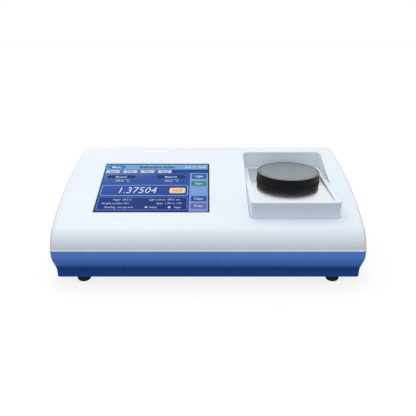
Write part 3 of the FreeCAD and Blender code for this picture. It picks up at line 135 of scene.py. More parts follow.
def paint_shade_below(material, painted_shade_colour, low_z, high_z):
    """Lays painted shade, a darker colour, over a material's own: whole below the lower height,
    and fading along an S-curve until nothing of it is left at the upper one."""
    tree = material.node_tree
    shader = tree.nodes["Principled BSDF"]
    own_colour = shader.inputs["Base Color"].links[0].from_socket
    place = tree.nodes.new("ShaderNodeTexCoord")
    split = tree.nodes.new("ShaderNodeSeparateXYZ")
    rise = tree.nodes.new("ShaderNodeMapRange")
    rise.interpolation_type = "SMOOTHSTEP"
    rise.inputs["From Min"].default_value = low_z
    rise.inputs["From Max"].default_value = high_z
    blend = tree.nodes.new("ShaderNodeMixRGB")
    blend.inputs["Color1"].default_value = (*painted_shade_colour, 1)
    tree.links.new(place.outputs["Object"], split.inputs["Vector"])
    tree.links.new(split.outputs["Z"], rise.inputs["Value"])
    tree.links.new(rise.outputs["Result"], blend.inputs["Fac"])
    tree.links.new(own_colour, blend.inputs["Color2"])
    tree.links.new(blend.outputs["Color"], shader.inputs["Base Color"])


def round_off(piece):
    """Shades a piece smoothly across its rounded edges and keeps its sharp ones."""
    piece.data.shade_smooth()
    piece.modifiers.new("joined", "WELD").merge_threshold = 0.001 * mm
    piece.modifiers.new("sharp", "EDGE_SPLIT").split_angle = sharp_edge
    piece.modifiers.new("even", "WEIGHTED_NORMAL").keep_sharp = True


def dress(node, material):
    """Gives a solid of the frame its material and its smooth shading."""
    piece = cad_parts[node]
    piece.data.materials.clear()
    piece.data.materials.append(material)
    round_off(piece)


blue_plastic = moulded("blue_moulded_plastic", linear(108, 156, 248), 0.28, gloss=0.3)
# Painted shade: the blue turns darker towards the bench, standing in for shade on the lower band.
paint_shade_below(blue_plastic, linear(36, 86, 168), painted_shade_full_z, painted_shade_gone_z)
dress("base_housing", blue_plastic)


# Rubber feet.
# Four round feet of black rubber, moulded like bowls, with a hole up the middle in which a screw
# holds each to the base.

def new_piece(name, points, faces, material):
    """Makes a mesh object of points and faces, joins the points that fall together and turns its
    faces outwards."""
    mesh = bpy.data.meshes.new(name)
    mesh.from_pydata(points.tolist(), [], faces)
    mesh.materials.append(material)
    shell = bmesh.new()
    shell.from_mesh(mesh)
    bmesh.ops.remove_doubles(shell, verts=shell.verts, dist=0.0005 * mm)
    bmesh.ops.recalc_face_normals(shell, faces=shell.faces)
    shell.to_mesh(mesh)
    shell.free()
    piece = bpy.data.objects.new(name, mesh)
    bpy.context.scene.collection.objects.link(piece)
    return piece


def smooth_piece(name, points, faces, body, material):
    """Makes a piece that is shaded like the moulded ones, and rides it on its body."""
    piece = new_piece(name, points, faces, material)
    round_off(piece)
    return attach(piece, body)


def round_faces(rows, columns):
    """Quads between the neighbours in a grid of points whose last column meets its first."""
    row = np.arange(rows - 1)[:, None] * columns
    column = np.arange(columns)
    beside = (column + 1) % columns
    corners = [row + column, row + beside, row + columns + beside, row + columns + column]
    return np.stack(corners, 2).reshape(-1, 4).tolist()


def turned(name, middle, profile, body, material, count):
    """Closed ring or solid of turning: each (radius, height) of the profile goes once round the
    upright line through middle, at x plus radius times cosine and y plus radius times sine."""
    radius, height = np.array([*profile, profile[0]]).T[:, :, None]
    turn = np.linspace(0, 2 * math.pi, count, endpoint=False)
    x = middle[0] + radius * np.cos(turn)
    y = middle[1] + radius * np.sin(turn)
    z = np.broadcast_to(height, x.shape)
    points = np.stack([x, y, z], 2).reshape(-1, 3)
    return smooth_piece(name, points, round_faces(len(x), count), body, material)


def arc(centre, radii, start, end, steps):
    """Points of an ellipse's stretch in a profile, from the start angle to the end one in degrees:
    the centre plus the first radius times the cosine and the second times the sine."""
    turn = np.radians(np.linspace(start, end, steps))
    return np.stack([centre[0] + radii[0] * np.cos(turn), centre[1] + radii[1] * np.sin(turn)], 1)


def rubber(name, colour, roughness=0.75, gloss=0.5):
    """Black rubber: dull, with a soft cloud in its sheen and a slightly uneven skin."""
    material, tree, shader = new_material(name, colour, roughness, gloss=gloss)
    lighter = tuple(value * 1.6 for value in colour)
    tint(tree, mottle(tree, 160), shader.inputs["Base Color"], colour, lighter)
    spread(tree, mottle(tree, 300), shader.inputs["Roughness"], roughness - 0.1, roughness + 0.08)
    relief(tree, shader, mottle(tree, 1400), 0.05 * mm)
    return material


black_rubber = rubber("black_rubber", (0.012, 0.012, 0.014))
feet_low, feet_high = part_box("rubber_feet")
foot_bore = 3.45 * mm
foot_r = 9.5 * mm
foot_flat = 6.6 * mm
bowl_z = 5.0 * mm
bowl = arc((foot_flat, bowl_z), (foot_r - foot_flat, bowl_z), -90, 0, 12)
foot_profile = [(foot_bore, 0.0), *bowl, (foot_r, feet_high.z), (foot_bore, feet_high.z)]
for side_name, foot_x in (("left", feet_low.x + foot_r), ("right", feet_high.x - foot_r)):
    for way_name, foot_y in (("front", feet_low.y + foot_r), ("back", feet_high.y - foot_r)):
        foot = turned("foot_%s_%s" % (way_name, side_name), (foot_x, foot_y), foot_profile,
                      "instrument", black_rubber, 64)
        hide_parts("rubber_feet")


# Screws.
# Zinc-plated steel screws with pan heads: up through the feet, up through the base into the cover,
# and up through the well's ledge into the tray.

def brushed(name, colour, roughness, stretch, fineness=900):
    """Bare metal: fine scratches along one way, in its sheen and as a shallow relief."""
    material, tree, shader = new_material(name, colour, roughness, metallic=1.0)
    scratches = mottle(tree, fineness, stretch, 3.0)
    darker = tuple(value * 0.93 for value in colour)
    tint(tree, scratches, shader.inputs["Base Color"], darker, colour)
    spread(tree, scratches, shader.inputs["Roughness"], roughness - 0.04, roughness + 0.05)
    relief(tree, shader, scratches, 0.004 * mm)
    return material


plated_steel = brushed("zinc_plated_steel", (0.58, 0.58, 0.57), 0.35, (1, 1, 0.1))
for node in ("foot_screws", "cover_screws", "tray_screws"):
    dress(node, plated_steel)


# Rear panel.
# A satin aluminium plate at the bottom of the connector bay, with a punched opening for each
# connector; two small screws hold the inlet's flange to it.

dress("rear_panel", brushed("satin_aluminium", (0.52, 0.53, 0.55), 0.42, (0.05, 1, 1), 700))
inlet_low, inlet_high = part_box("power_inlet")
inlet_x = (inlet_low.x + inlet_high.x) / 2
inlet_z = (inlet_low.z + inlet_high.z) / 2
inlet_screw_gap = 20 * mm
head_r = 2.2 * mm
head_height = 1.3 * mm
head_drop = 0.55
head_sides = 48
slot_half = 0.16 * head_r
slot_reach = 0.7
slot_floor = 0.45


def head_at_back(name, x, y, z):
    """Domed screw head that stands out to the back: rings of points whose height falls off with
    the square of their radius, and drops to under half along two crossed slots."""
    share = np.linspace(0, 1, 7)[:, None]
    turn = np.linspace(0, 2 * math.pi, head_sides, endpoint=False)
    across = head_r * share * np.cos(turn)
    up = head_r * share * np.sin(turn)
    dome = head_height * (1 - head_drop * share ** 2) * np.ones(head_sides)
    slotted = (np.minimum(np.abs(across), np.abs(up)) < slot_half) & (share < slot_reach)
    rings = np.stack([x + across, y + np.where(slotted, dome * slot_floor, dome), z + up], 2)
    seat = np.stack([x + across[-1], np.full(head_sides, y), z + up[-1]], 1)
    points = np.concatenate([rings.reshape(-1, 3), seat, [[x, y, z]]])
    middle = len(points) - 1
    ring = np.arange(middle - head_sides, middle)
    under = np.stack([ring, np.roll(ring, -1), np.full(head_sides, middle)], 1)
    faces = round_faces(len(share) + 1, head_sides) + under.tolist()
    return smooth_piece(name, points, faces, "instrument", plated_steel)


for word, x in (("right", inlet_x - inlet_screw_gap), ("left", inlet_x + inlet_screw_gap)):
    head = head_at_back("inlet_screw_" + word, x, inlet_high.y, inlet_z)


# Power inlet and its pins.
# A black glass-filled nylon moulding, and three nickel-plated blades pressed through its floor.

inlet_plastic = moulded("black_nylon", (0.014, 0.014, 0.016), 0.5, 1800, 0.03 * mm)
dress("power_inlet", inlet_plastic)
dress("inlet_pins", brushed("nickel_plated_brass", (0.72, 0.7, 0.66), 0.22, (1, 0.08, 1)))


# Power switch.
# A snap-in frame of the same nylon, and a glossier rocker that tips on two stub pins. The on and
# off marks are printed on the rocker in white.

dress("switch_frame", inlet_plastic)
dress("switch_rocker", moulded("gloss_black_plastic", (0.012, 0.012, 0.013), 0.22, 900, 0.01 * mm))
white_print, tree, shader = new_material("white_print", linear(225, 228, 230), 0.5)
tint(tree, mottle(tree, 2500), shader.inputs["Base Color"], linear(210, 214, 218),
     linear(232, 235, 238))
rocker_low, rocker_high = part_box("switch_rocker")
rocker_tilt = math.radians(8)
rocker_reach = 6.2 * mm
hollow_out = 5.1 * mm
pivot_y = 98 * mm
pivot = np.array([(rocker_low.x + rocker_high.x) / 2, pivot_y, (rocker_low.z + rocker_high.z) / 2])
print_sunk = -0.05 * mm
print_proud = 0.06 * mm


def on_rocker(across, up, out):
    """Point on the tipped rocker, whose face turns with it about its upright pivot."""
    x = pivot[0] + across * math.cos(rocker_tilt) + out * math.sin(rocker_tilt)
    y = pivot[1] - across * math.sin(rocker_tilt) + out * math.cos(rocker_tilt)
    return np.stack([x, y, pivot[2] + up], 1)


def hollow_face(across):
    """Distance of the rocker's hollow face from the pivot: least in the middle, a circle's arc."""
    rise = rocker_reach * math.tan(rocker_tilt)
    radius = (rocker_reach ** 2 + rise ** 2) / (2 * rise)
    return hollow_out + radius - np.sqrt(radius ** 2 - across ** 2)


def print_on_rocker(name, line_across, line_up, width):
    """Thin raised print along a line on the rocker: at each point of the line, four points round
    a band as wide as given, from just inside the hollow face to just outside it."""
    step = np.stack([np.gradient(line_across), np.gradient(line_up)], 1)
    step /= np.linalg.norm(step, axis=1)[:, None]
    rows = []
    for side, lift in ((-1, print_sunk), (-1, print_proud), (1, print_proud), (1, print_sunk)):
        across = line_across - side * step[:, 1] * width / 2
        up = line_up + side * step[:, 0] * width / 2
        rows.append(on_rocker(across, up, hollow_face(across) + lift))
    points = np.stack(rows, 1)
    faces = round_faces(len(points), 4)
    if not np.allclose(points[0], points[-1], atol=0.01 * mm):
        last = 4 * (len(points) - 1)
        faces += [[3, 2, 1, 0], [last, last + 1, last + 2, last + 3]]
    mark = smooth_piece(name, points.reshape(-1, 3), faces, "rocker", white_print)


mark_x = 3.6 * mm
mark_half = 1.3 * mm
ring_across = 1.2 * mm
ring_up = 1.4 * mm
stroke = np.linspace(-mark_half, mark_half, 8)
around = np.linspace(0, 2 * math.pi, 41)
print_on_rocker("on_mark", np.full(len(stroke), mark_x), stroke, 0.5 * mm)
print_on_rocker("off_mark", ring_across * np.cos(around) - mark_x, ring_up * np.sin(around),
                0.45 * mm)


# Data sockets.
# Two folded steel shells with their tongues, and a nine-pole serial socket with a row of five and
# a row of four contact holes in its black insert, between two six-sided jack screws.

port_steel = brushed("tinned_steel", (0.66, 0.66, 0.65), 0.28, (1, 0.1, 1))
dress("usb_ports", port_steel)
dress("serial_port", port_steel)
panel_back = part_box("rear_panel")[1].y
serial_low, serial_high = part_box("serial_port")
serial_x = (serial_low.x + serial_high.x) / 2
serial_z = (serial_low.z + serial_high.z) / 2
jack_gap = 12.5 * mm
jack_r = 2.6 * mm
jack_out = 4.6 * mm
contact_pitch = 2.7 * mm
contact_r = 0.6 * mm
contact_deep = 1.5 * mm
contact_out = 0.03 * mm


def rod_at_back(name, x, z, y0, y1, radius, sides, material):
    """Short rod along Y: a circle of points at each end and, at the same depth, the points of its
    middle, which fall together."""
    turn = np.linspace(0, 2 * math.pi, sides, endpoint=False)
    reach = radius * np.array([0, 1, 1, 0])[:, None]
    along = np.array([y0, y0, y1, y1])[:, None] * np.ones(sides)
    points = np.stack([x + reach * np.cos(turn), along, z + reach * np.sin(turn)], 2)
    return smooth_piece(name, points.reshape(-1, 3), round_faces(4, sides), "instrument", material)


for word, x in (("right", serial_x - jack_gap), ("left", serial_x + jack_gap)):
    jack = rod_at_back("jack_screw_" + word, x, serial_z, panel_back, panel_back + jack_out,
                       jack_r, 6, plated_steel)
for row, count in enumerate((5, 4)):
    for index in range(count):
        contact_x = serial_x + (index - (count - 1) / 2) * contact_pitch
        contact_z = serial_z + (0.5 - row) * contact_pitch
        contact = rod_at_back("serial_contact_%d_%d" % (row + 1, index + 1), contact_x, contact_z,
                              serial_high.y - contact_deep, serial_high.y + contact_out,
                              contact_r, 16, inlet_plastic)


# Boards and power supply.
# Glass-fibre boards under green lacquer, on six-sided brass pillars, with the display's flat cable
# dropping to its socket.

board_green, tree, shader = new_material("green_board_lacquer", (0.02, 0.16, 0.06), 0.3)
tint(tree, mottle(tree, 350, (1, 0.08, 1), 2.0), shader.inputs["Base Color"], (0.012, 0.11, 0.04),
     (0.03, 0.22, 0.09))
spread(tree, mottle(tree, 900), shader.inputs["Roughness"], 0.22, 0.42)
relief(tree, shader, mottle(tree, 350, (0.08, 1, 1), 2.0), 0.03 * mm)
for node in ("main_board", "power_supply", "lamp_board", "sensor_board"):
    dress(node, board_green)
dress("board_standoffs", brushed("turned_brass", (0.7, 0.52, 0.22), 0.3, (1, 1, 4)))
dress("display_ribbon", moulded("cable_film", linear(214, 212, 202), 0.45, 600, 0.05 * mm))


# Measuring head.
# A milled aluminium block holds the prism. Two black anodised tubes lean on it, one with the lamp
# and one with the line sensor. Its temperature is held by a thermoelectric module, a finned heat
# sink and a fan below, on two legs of sheet steel.

milled = brushed("milled_aluminium", (0.74, 0.75, 0.76), 0.33, (1, 0.15, 1), 500)
black_anodised = brushed("black_anodised_aluminium", (0.03, 0.03, 0.034), 0.4, (1, 1, 3))
sheet_steel = brushed("galvanised_sheet", (0.56, 0.57, 0.58), 0.4, (1, 0.5, 1), 120)
ceramic = moulded("alumina_ceramic", linear(232, 231, 226), 0.4, 1500, 0.01 * mm)
fan_plastic = moulded("fan_plastic", (0.016, 0.016, 0.018), 0.42, 1200, 0.02 * mm)
winding, tree, shader = new_material("enamelled_copper", (0.42, 0.17, 0.07), 0.3, metallic=1.0)
turns = mottle(tree, 1500, (0.1, 0.1, 3))
tint(tree, turns, shader.inputs["Base Color"], (0.3, 0.11, 0.04), (0.55, 0.24, 0.1))
relief(tree, shader, turns, 0.1 * mm)
clear_glass, tree, shader = new_material("optical_glass", (0.9, 0.95, 0.96), 0.03)
shader.inputs["Transmission Weight"].default_value = 0.9
shader.inputs["IOR"].default_value = 1.7
spread(tree, mottle(tree, 400), shader.inputs["Roughness"], 0.02, 0.05)
head_finishes = {
    "prism_block": milled,
    "heat_sink": milled,
    "lamp_tube": black_anodised,
    "camera_tube": black_anodised,
    "thermoelectric_module": ceramic,
    "head_frame": sheet_steel,
    "fan_frame": fan_plastic,
    "fan_rotor": fan_plastic,
    "fan_stator": winding,
    "prism": clear_glass,
    "lamp_lens": clear_glass,
    "camera_lens": clear_glass,
}
for node, finish in head_finishes.items():
    dress(node, finish)


# Top cover.
# The white upper half is moulded like the base. Its sloping top has the display's window and the
# well that the tray stands in, and a small lip runs round its foot, over the seam.

dress("top_cover", moulded("white_moulded_plastic", linear(234, 238, 244), 0.36))


# Display.
# A colour display in its steel case sits on a foam frame behind a cover glass, a little below the
# slope of the cover.

dress("display_module", sheet_steel)
dress("display_bracket", sheet_steel)
dress("display_gasket", rubber("black_foam", (0.015, 0.015, 0.016), 0.9))
glass_navy, tree, shader = new_material("display_glass", linear(14, 28, 62), 0.08)
shader.inputs["IOR"].default_value = 1.15
spread(tree, mottle(tree, 60), shader.inputs["Roughness"], 0.05, 0.12)
tint(tree, mottle(tree, 20), shader.inputs["Base Color"], linear(11, 24, 56), linear(17, 34, 70))
dress("touch_glass", glass_navy)


# Picture on the display.
# The display lights its picture from behind, and it is seen through the glass. Thin films of
# light, one over another, stand for its areas, and thin raised letters for its plain words.

slope = math.radians(16.3)
glass_low, glass_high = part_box("touch_glass")
glass_t = 1.8 * mm
glass_length = (glass_high.z - glass_low.z - glass_t * math.cos(slope)) / math.sin(slope)
glass_x = (glass_low.x + glass_high.x) / 2
glass_top = np.array([glass_x, glass_high.y - glass_t * math.sin(slope), glass_high.z])
uphill = np.array([0, math.cos(slope), math.sin(slope)])
outward = np.array([0, -math.sin(slope), math.cos(slope)])
screen_middle = glass_top - uphill * glass_length / 2
layer_step = 0.02 * mm
sunk = -0.5


def on_screen(right, up, layer):
    """Point over the glass: so many millimetres right and uphill of its middle, and so many
    layers of film above its face."""
    out = np.broadcast_to(layer, right.shape)[:, None] * layer_step * outward
    return screen_middle + right[:, None] * mm * [1, 0, 0] + up[:, None] * mm * uphill + out


def screen_piece(name, points, faces, material):
    """Makes a flat piece of the picture and rides it on the instrument."""
    piece = new_piece(name, np.concatenate(points), faces, material)
    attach(piece, "instrument")


def lit(name, *colours):
    """Backlit picture area: its colour goes in even steps from the screen's near right corner to
    its far left one."""
    material, tree, shader = new_material(name, (0.004, 0.004, 0.005), 0.14)
    shader.inputs["IOR"].default_value = 1.12
    place = tree.nodes.new("ShaderNodeTexCoord")
    fade = tree.nodes.new("ShaderNodeVectorMath")
    fade.operation = "DOT_PRODUCT"
    rate = np.array([-0.3 / (glass_high.x - glass_low.x), 0.7 / (glass_high.y - glass_low.y), 0])
    fade.inputs[1].default_value = rate
    level = tree.nodes.new("ShaderNodeMath")
    level.inputs[1].default_value = 0.5 - float(rate @ screen_middle)
    ramp = tree.nodes.new("ShaderNodeValToRGB")
    for index in range(1, len(colours) - 1):
        ramp.color_ramp.elements.new(index / (len(colours) - 1))
    for stop, colour in zip(ramp.color_ramp.elements, colours):
        stop.color = (*colour, 1)
    tree.links.new(place.outputs["Object"], fade.inputs[0])
    tree.links.new(fade.outputs["Value"], level.inputs[0])
    tree.links.new(level.outputs["Value"], ramp.inputs["Fac"])
    tree.links.new(ramp.outputs["Color"], shader.inputs["Emission Color"])
    shader.inputs["Emission Strength"].default_value = 1.0
    return material


def film(name, layer, areas, material):
    """Thin slabs of one colour on the screen: rectangles (left, low, right, high, corner radius)
    in millimetres, each with its corners rounded by quarter circles, from inside the glass's
    face up to the given layer."""
    points = []
    faces = []
    for left, low, right, high, radius in areas:
        corners = ((right - radius, high - radius), (left + radius, high - radius),
                   (left + radius, low + radius), (right - radius, low + radius))
        quarters = [arc(corner, (radius, radius), 90 * index, 90 * index + 90, 6)
                    for index, corner in enumerate(corners)]
        across, up = np.concatenate(quarters).T
        under = sum(map(len, points)) + np.arange(len(across))
        over = under + len(across)
        points += [on_screen(across, up, sunk), on_screen(across, up, layer)]
        walls = np.stack([under, np.roll(under, -1), np.roll(over, -1), over], 1)
        faces += [under[::-1].tolist(), over.tolist(), *walls.tolist()]
    screen_piece(name, points, faces, material)


def letter_solid(text, size, slant, weight):
    """Flat solid of a centred line of letters, lying in its own plane; weight thickens its
    strokes by that share of the size."""
    curve = bpy.data.curves.new(text, "FONT")
    curve.body = text
    curve.size = size
    curve.shear = slant
    curve.align_x = "CENTER"
    curve.resolution_u = 2
    curve.extrude = 0.5
    curve.offset = weight * size
    letters = bpy.data.objects.new(text, curve)
    bpy.context.scene.collection.objects.link(letters)
    bpy.context.view_layer.update()
    shaped = letters.evaluated_get(bpy.context.evaluated_depsgraph_get())
    solid = bpy.data.meshes.new_from_object(shaped)
    bpy.data.objects.remove(letters)
    return solid


def writing(name, layer, lines, material, narrow=0.85, slant=0.0, weight=0.012):
    """Raised writing on the screen: each line is (text, middle, foot, size) in millimetres, made
    as a flat solid and laid on the glass, from inside its face up to the given layer."""
    points = []
    faces = []
    for text, middle, foot, size in lines:
        solid = letter_solid(text, size, slant, weight)
        places = np.zeros(len(solid.vertices) * 3)
        solid.vertices.foreach_get("co", places)
        across, up, height = places.reshape(-1, 3).T
        start = sum(map(len, points))
        lift = np.where(height > 0, layer, sunk)
        points.append(on_screen(middle + across * narrow, foot + up, lift))
        faces += [[start + corner for corner in face.vertices] for face in solid.polygons]
        bpy.data.meshes.remove(solid)
    screen_piece(name, points, faces, material)


left_edge, low_edge, right_edge, high_edge = -80.4, -60.4, 80.0, 59.4
header_low = 46
column_left = 52.6
tab_low, tab_high = 36.4, 43.4
tab_w = 21
tab_lefts = (-79, -52, -25, 2)
film("screen_picture", 1, [(left_edge, low_edge, right_edge, high_edge, 0.6)],
     lit("screen_body", linear(28, 56, 134), linear(44, 78, 150), linear(52, 88, 160),
         linear(112, 150, 210)))
film("screen_header_bar", 2, [(left_edge, header_low, right_edge, high_edge, 0.6)],
     lit("screen_header", linear(112, 156, 212), linear(116, 170, 218)))
film("screen_side_column", 2, [(column_left, low_edge, right_edge, tab_low, 0.6)],
     lit("screen_column", linear(112, 148, 212), linear(140, 172, 228)))
film("screen_tab_strip", 2, [(tab_lefts[-1] + tab_w + 0.5, tab_low, right_edge, 45.4, 0.4)],
     lit("screen_tab_navy", linear(26, 50, 118), linear(40, 70, 142)))
film("screen_header_button", 3, [(-79, 47.6, -50, 57.6, 5.0)],
     lit("screen_header_button", linear(40, 108, 176), linear(54, 124, 190)))
film("screen_tabs", 2, [(left, tab_low, left + tab_w, tab_high, 0.8) for left in tab_lefts],
     lit("screen_tab", linear(196, 204, 214), linear(210, 216, 222)))

dark_mark = lit("screen_dark_mark", linear(28, 60, 106), linear(32, 67, 112))
pale_mark = lit("screen_pale_mark", linear(222, 232, 244), linear(232, 240, 250))
tab_words = zip(("Read", "Scale", "Data", "Setup"), tab_lefts)
writing("screen_title", 3, [("Refractive index", 0, 49.2, 10)], dark_mark, weight=0.03)
writing("screen_header_marks", 4,
        [("Menu", -64.5, 50, 7.5), ("25.0 \u00b0C  12:00", 60, 50, 6.5)], pale_mark)
writing("screen_tab_words", 3,
        [(word, left + tab_w / 2, 37.8, 6.5) for word, left in tab_words], dark_mark)

pill_low, pill_high = 21.5, 29.8
pill_r = 4.1
film("screen_pills", 3,
     [(-75.6, pill_low, -31.5, pill_high, pill_r), (0.5, pill_low, 45.3, pill_high, pill_r)],
     lit("screen_pill", linear(32, 42, 92), linear(44, 54, 108)))
writing("screen_pill_words", 4, [("Set point", -53.5, 23.6, 5.6), ("Measured", 23, 23.6, 5.6)],
        pale_mark)
writing("screen_values", 3, [("20.0 \u00b0C", middle, 12.4, 8.5) for middle in (-50, 25)],
        lit("screen_value", linear(150, 186, 232), linear(160, 196, 236)))

box_left, box_right = -79.2, 50.4
readout_edge = 1.1
film("screen_readout_edge", 2, [(box_left, -22.8, box_right, 3.8, 3.0)],
     lit("screen_outline", linear(150, 172, 226), linear(160, 184, 232)))
film("screen_readout", 3, [(box_left + readout_edge, -21.7, box_right - readout_edge, 2.7, 2.4)],
     lit("screen_readout_blue", linear(30, 58, 136), linear(46, 78, 154), linear(74, 114, 188)))
film("screen_value_button", 4, [(23, -16.6, 46.3, -3.4, 2.4)],
     lit("screen_cream", linear(238, 206, 150), linear(250, 222, 172)))
writing("screen_button_word", 5, [("hold", 34.6, -12.6, 9)],
        lit("screen_ochre", linear(178, 112, 40), linear(190, 122, 48)))

info_edge = 1.2
info_size = 5.8
info_rows = {
    -34.4: (("Sugar  25.0 %", -44), ("Light colour  589.3 nm", 17)),
    -43.2: (("Sample number 001", -53), ("Span  1.30 to 1.70", 24)),
    -52.2: (("Reading  one by one", -47), ("Index", 2), ("Sugar", 37)),
}
info_lines = [(word, middle, foot, info_size)
              for foot, words in info_rows.items() for word, middle in words]
dot_low, dot_high = -52.4, -48.4
dot_w = dot_high - dot_low
small_writing = lit("screen_small_writing", linear(196, 210, 238), linear(210, 222, 244))
film("screen_info_edge", 2, [(box_left, -56.6, box_right, -26.0, 2.0)],
     lit("screen_info_outline", linear(88, 110, 190), linear(110, 136, 208)))
film("screen_info", 3, [(box_left + info_edge, -55.5, box_right - info_edge, -27.1, 1.4)],
     lit("screen_info_navy", linear(24, 48, 112), linear(36, 66, 148)))
writing("screen_info_words", 4, info_lines, small_writing, weight=0.0)
film("screen_info_dots", 4,
     [(left, dot_low, left + dot_w, dot_high, dot_w / 2) for left in (-10, 23)], small_writing)

button_left, button_right = 55.2, 78.0
button_word_size = 7.5
word_drop = 2.4
buttons = {
    "blue": ("Light", 19.7, 34.4, linear(50, 88, 160), linear(60, 104, 172)),
    "green": ("Start", 1.2, 14.2, linear(30, 132, 112), linear(48, 146, 128)),
    "navy": ("Clear", -36.8, -23.8, linear(34, 78, 150), linear(46, 94, 166)),
    "violet": ("Print", -54.2, -40.7, linear(106, 96, 166), linear(124, 116, 182)),
}
for colour_name, (word, low, high, low_colour, high_colour) in buttons.items():
    film("screen_button_" + colour_name, 3, [(button_left, low, button_right, high, 1.2)],
         lit("screen_" + colour_name, low_colour, high_colour))
    word_foot = (low + high) / 2 - word_drop
    word_middle = (button_left + button_right) / 2
    writing("screen_word_" + colour_name, 4, [(word, word_middle, word_foot, button_word_size)],
            small_writing)
writing("screen_reading", 5, [("1.37504", -26, -16.6, 21.5)],
        lit("screen_white_digit", linear(226, 236, 248), linear(236, 242, 250)),
        slant=0.18, weight=-0.008)


# Sample tray.
# A moulded tray, white like the cover but painted a little bluer as cool shade on its walls,
# stands level in its well: proud of the slope at the front and sunk at the back. The polished
# steel plate lies in its pan, over a temperature probe.

# The tray's white is a little bluer than the cover's: painted cool shade for its shaded walls.
dress("sample_tray", moulded("tray_plastic_with_painted_cool_shade", linear(229, 238, 248), 0.38))
polished_steel = brushed("polished_steel", (0.88, 0.875, 0.87), 0.17, (0.04, 1, 1), 1500)
dress("sample_plate", polished_steel)
dress("temperature_probe", polished_steel)


# Prism ring and its seal.
# A turned steel ring with a conical dish that holds the sample over the prism; a flat black seal
# keeps it from running down the prism's sides.

dress("prism_ring", brushed("turned_steel", (0.66, 0.65, 0.64), 0.18, (1, 1, 6)))
dress("prism_seal", rubber("seal_rubber", (0.014, 0.014, 0.015), 0.6))


# Cap and its seal.
# A hollow round cap turned from black plastic, with fine level ridges round its side for the
# fingers and a satin top. The top's dark grey is partly its own and partly painted sheen, for the
# surroundings mirrored in it. It stands on a soft ring and lifts straight off.

cap_low, cap_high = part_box("cap")
cap_middle = ((cap_low.x + cap_high.x) / 2, (cap_low.y + cap_high.y) / 2)
cap_r = (cap_high.x - cap_low.x) / 2
cap_top = cap_high.z
cap_wall = 3.0 * mm
hollow_r = cap_r - cap_wall
hollow_top = cap_top - cap_wall
ridge_count = 7
ridge_depth = 0.55 * mm
ridges_low = cap_low.z + 0.8 * mm
ridges_high = cap_top - 1.5 * mm
height = np.linspace(ridges_low, ridges_high, ridge_count * 8 + 1)
swing = 2 * math.pi * ridge_count * (height - ridges_low) / (ridges_high - ridges_low)
ridges = np.stack([cap_r - ridge_depth * (1 - np.cos(swing)) / 2, height], 1)
edge_r = 1.1 * mm
top_edge = arc((cap_r - edge_r, cap_top - edge_r), (edge_r, edge_r), 20, 90, 6)
groove_floor = cap_top - 0.25 * mm
groove = [(cap_r - 2.4 * mm, cap_top), (cap_r - 2.7 * mm, groove_floor),
          (cap_r - 3.2 * mm, groove_floor), (cap_r - 3.5 * mm, cap_top)]
cap_profile = [(hollow_r, cap_low.z), (cap_r, cap_low.z), *ridges, *top_edge, *groove,
               (0.0, cap_top), (0.0, hollow_top), (hollow_r, hollow_top)]
black_side, tree, shader = new_material("cap_black_plastic", (0.008, 0.0085, 0.01), 0.35,
                                        gloss=0.12)
spread(tree, mottle(tree, 120, (1, 1, 30)), shader.inputs["Roughness"], 0.3, 0.42)
tint(tree, mottle(tree, 40), shader.inputs["Base Color"], (0.007, 0.0075, 0.009),
     (0.011, 0.012, 0.014))
relief(tree, shader, mottle(tree, 900), 0.003 * mm)
# The top's grey, lighter than the black side, is partly painted sheen.
satin_top_painted_sheen, tree, shader = new_material("cap_satin_top", (0.13, 0.15, 0.17), 0.3)
shader.inputs["IOR"].default_value = 1.8
spread(tree, mottle(tree, 60), shader.inputs["Roughness"], 0.26, 0.34)
tint(tree, mottle(tree, 90), shader.inputs["Base Color"], (0.12, 0.138, 0.155),
     (0.145, 0.166, 0.186))
relief(tree, shader, mottle(tree, 1400), 0.004 * mm)
cap = turned("cap_ridged", cap_middle, cap_profile, "cap", black_side, 192)
cap.data.materials.append(satin_top_painted_sheen)
for face in cap.data.polygons:
    if face.normal.z > 0.9 and face.center.z > cap_top - 0.1 * mm:
        face.material_index = 1
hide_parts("cap")
dress("cap_seal", rubber("cap_seal_rubber", (0.007, 0.007, 0.008), 0.6, gloss=0.1))


# Studio.
# Pale surroundings give most of the light, and one wide warm lamp hangs high over the instrument.
# The camera, where the photographer stood, sees a floor that glows nearly white, while the
# instrument sees a dark one.

floor_reach = 6.0
floor_corners = [(-floor_reach, -floor_reach, 0), (floor_reach, -floor_reach, 0),
                 (floor_reach, floor_reach, 0), (-floor_reach, floor_reach, 0)]
floor_mesh = bpy.data.meshes.new("floor")
floor_mesh.from_pydata(floor_corners, [], [(0, 1, 2, 3)])
floor = bpy.data.objects.new("floor", floor_mesh)
bpy.context.scene.collection.objects.link(floor)
floor_paint, tree, shader = new_material("pale_floor", (0.5, 0.5, 0.5), 0.9)
paths = tree.nodes.new("ShaderNodeLightPath")
grey = tree.nodes.new("ShaderNodeMapRange")
grey.inputs["To Min"].default_value = 0.05
grey.inputs["To Max"].default_value = 0.5
glow = tree.nodes.new("ShaderNodeEmission")
glow.inputs["Strength"].default_value = 1.36
glow_share = tree.nodes.new("ShaderNodeMath")
glow_share.operation = "MULTIPLY"
glow_share.inputs[1].default_value = 0.6
blend = tree.nodes.new("ShaderNodeMixShader")
tree.links.new(paths.outputs["Is Camera Ray"], grey.inputs["Value"])
tree.links.new(grey.outputs["Result"], shader.inputs["Base Color"])
tree.links.new(paths.outputs["Is Camera Ray"], glow_share.inputs[0])
tree.links.new(glow_share.outputs["Value"], blend.inputs["Fac"])
tree.links.new(shader.outputs["BSDF"], blend.inputs[1])
tree.links.new(glow.outputs["Emission"], blend.inputs[2])
tree.links.new(blend.outputs["Shader"], tree.nodes["Material Output"].inputs["Surface"])
floor_mesh.materials.append(floor_paint)

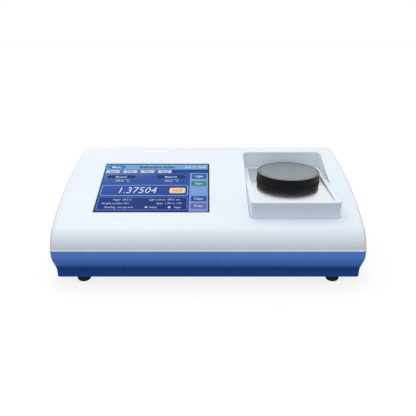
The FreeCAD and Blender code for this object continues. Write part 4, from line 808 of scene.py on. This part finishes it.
# The surroundings light the part with a cool, weaker white; seen directly, in a reflection or
# through glass they are plain white.
world = bpy.data.worlds.new("studio")
bpy.context.scene.world = world
world.use_nodes = True
tree = world.node_tree
backdrop = tree.nodes["Background"]
paths = tree.nodes.new("ShaderNodeLightPath")
mirrored = tree.nodes.new("ShaderNodeMath")
mirrored.operation = "MAXIMUM"
shown = tree.nodes.new("ShaderNodeMath")
shown.operation = "MAXIMUM"
strength = tree.nodes.new("ShaderNodeMapRange")
strength.inputs["To Min"].default_value = 0.85
strength.inputs["To Max"].default_value = 1.0
white = tree.nodes.new("ShaderNodeMixRGB")
white.inputs["Color1"].default_value = (0.92, 1.0, 1.07, 1)
white.inputs["Color2"].default_value = (1, 1, 1, 1)
tree.links.new(paths.outputs["Is Glossy Ray"], mirrored.inputs[0])
tree.links.new(paths.outputs["Is Transmission Ray"], mirrored.inputs[1])
tree.links.new(mirrored.outputs["Value"], shown.inputs[0])
tree.links.new(paths.outputs["Is Camera Ray"], shown.inputs[1])
tree.links.new(shown.outputs["Value"], strength.inputs["Value"])
tree.links.new(shown.outputs["Value"], white.inputs["Fac"])
tree.links.new(white.outputs["Color"], backdrop.inputs["Color"])
tree.links.new(strength.outputs["Result"], backdrop.inputs["Strength"])

lamp_place = np.array([-0.3, 0.25, 1.7])
lamp_aim = np.array([0, 0, 0.1])
lamp_data = bpy.data.lights.new("overhead_lamp", "AREA")
lamp_data.size = 1.2
lamp_data.energy = 8
lamp_data.color = (1.0, 0.88, 0.72)
lamp = bpy.data.objects.new("overhead_lamp", lamp_data)
bpy.context.scene.collection.objects.link(lamp)
away = lamp_aim - lamp_place
lamp.location = lamp_place
lamp.rotation_euler = (math.atan2(math.hypot(away[0], away[1]), -away[2]), 0,
                       math.atan2(-away[0], away[1]))

photographer = bpy.data.cameras.new("photographer")
photographer.sensor_width = 36
photographer.lens = 43.13
photographer.shift_x = -0.0004
photographer.shift_y = -0.006
camera_place = (0, -0.7118, 0.3556)
camera_dip = 21.6
camera = bpy.data.objects.new("photographer", photographer)
camera.location = camera_place
camera.rotation_euler = (math.radians(90 - camera_dip), 0, 0)
bpy.context.scene.collection.objects.link(camera)
bpy.context.scene.camera = camera
bpy.context.scene.view_settings.view_transform = "Standard"
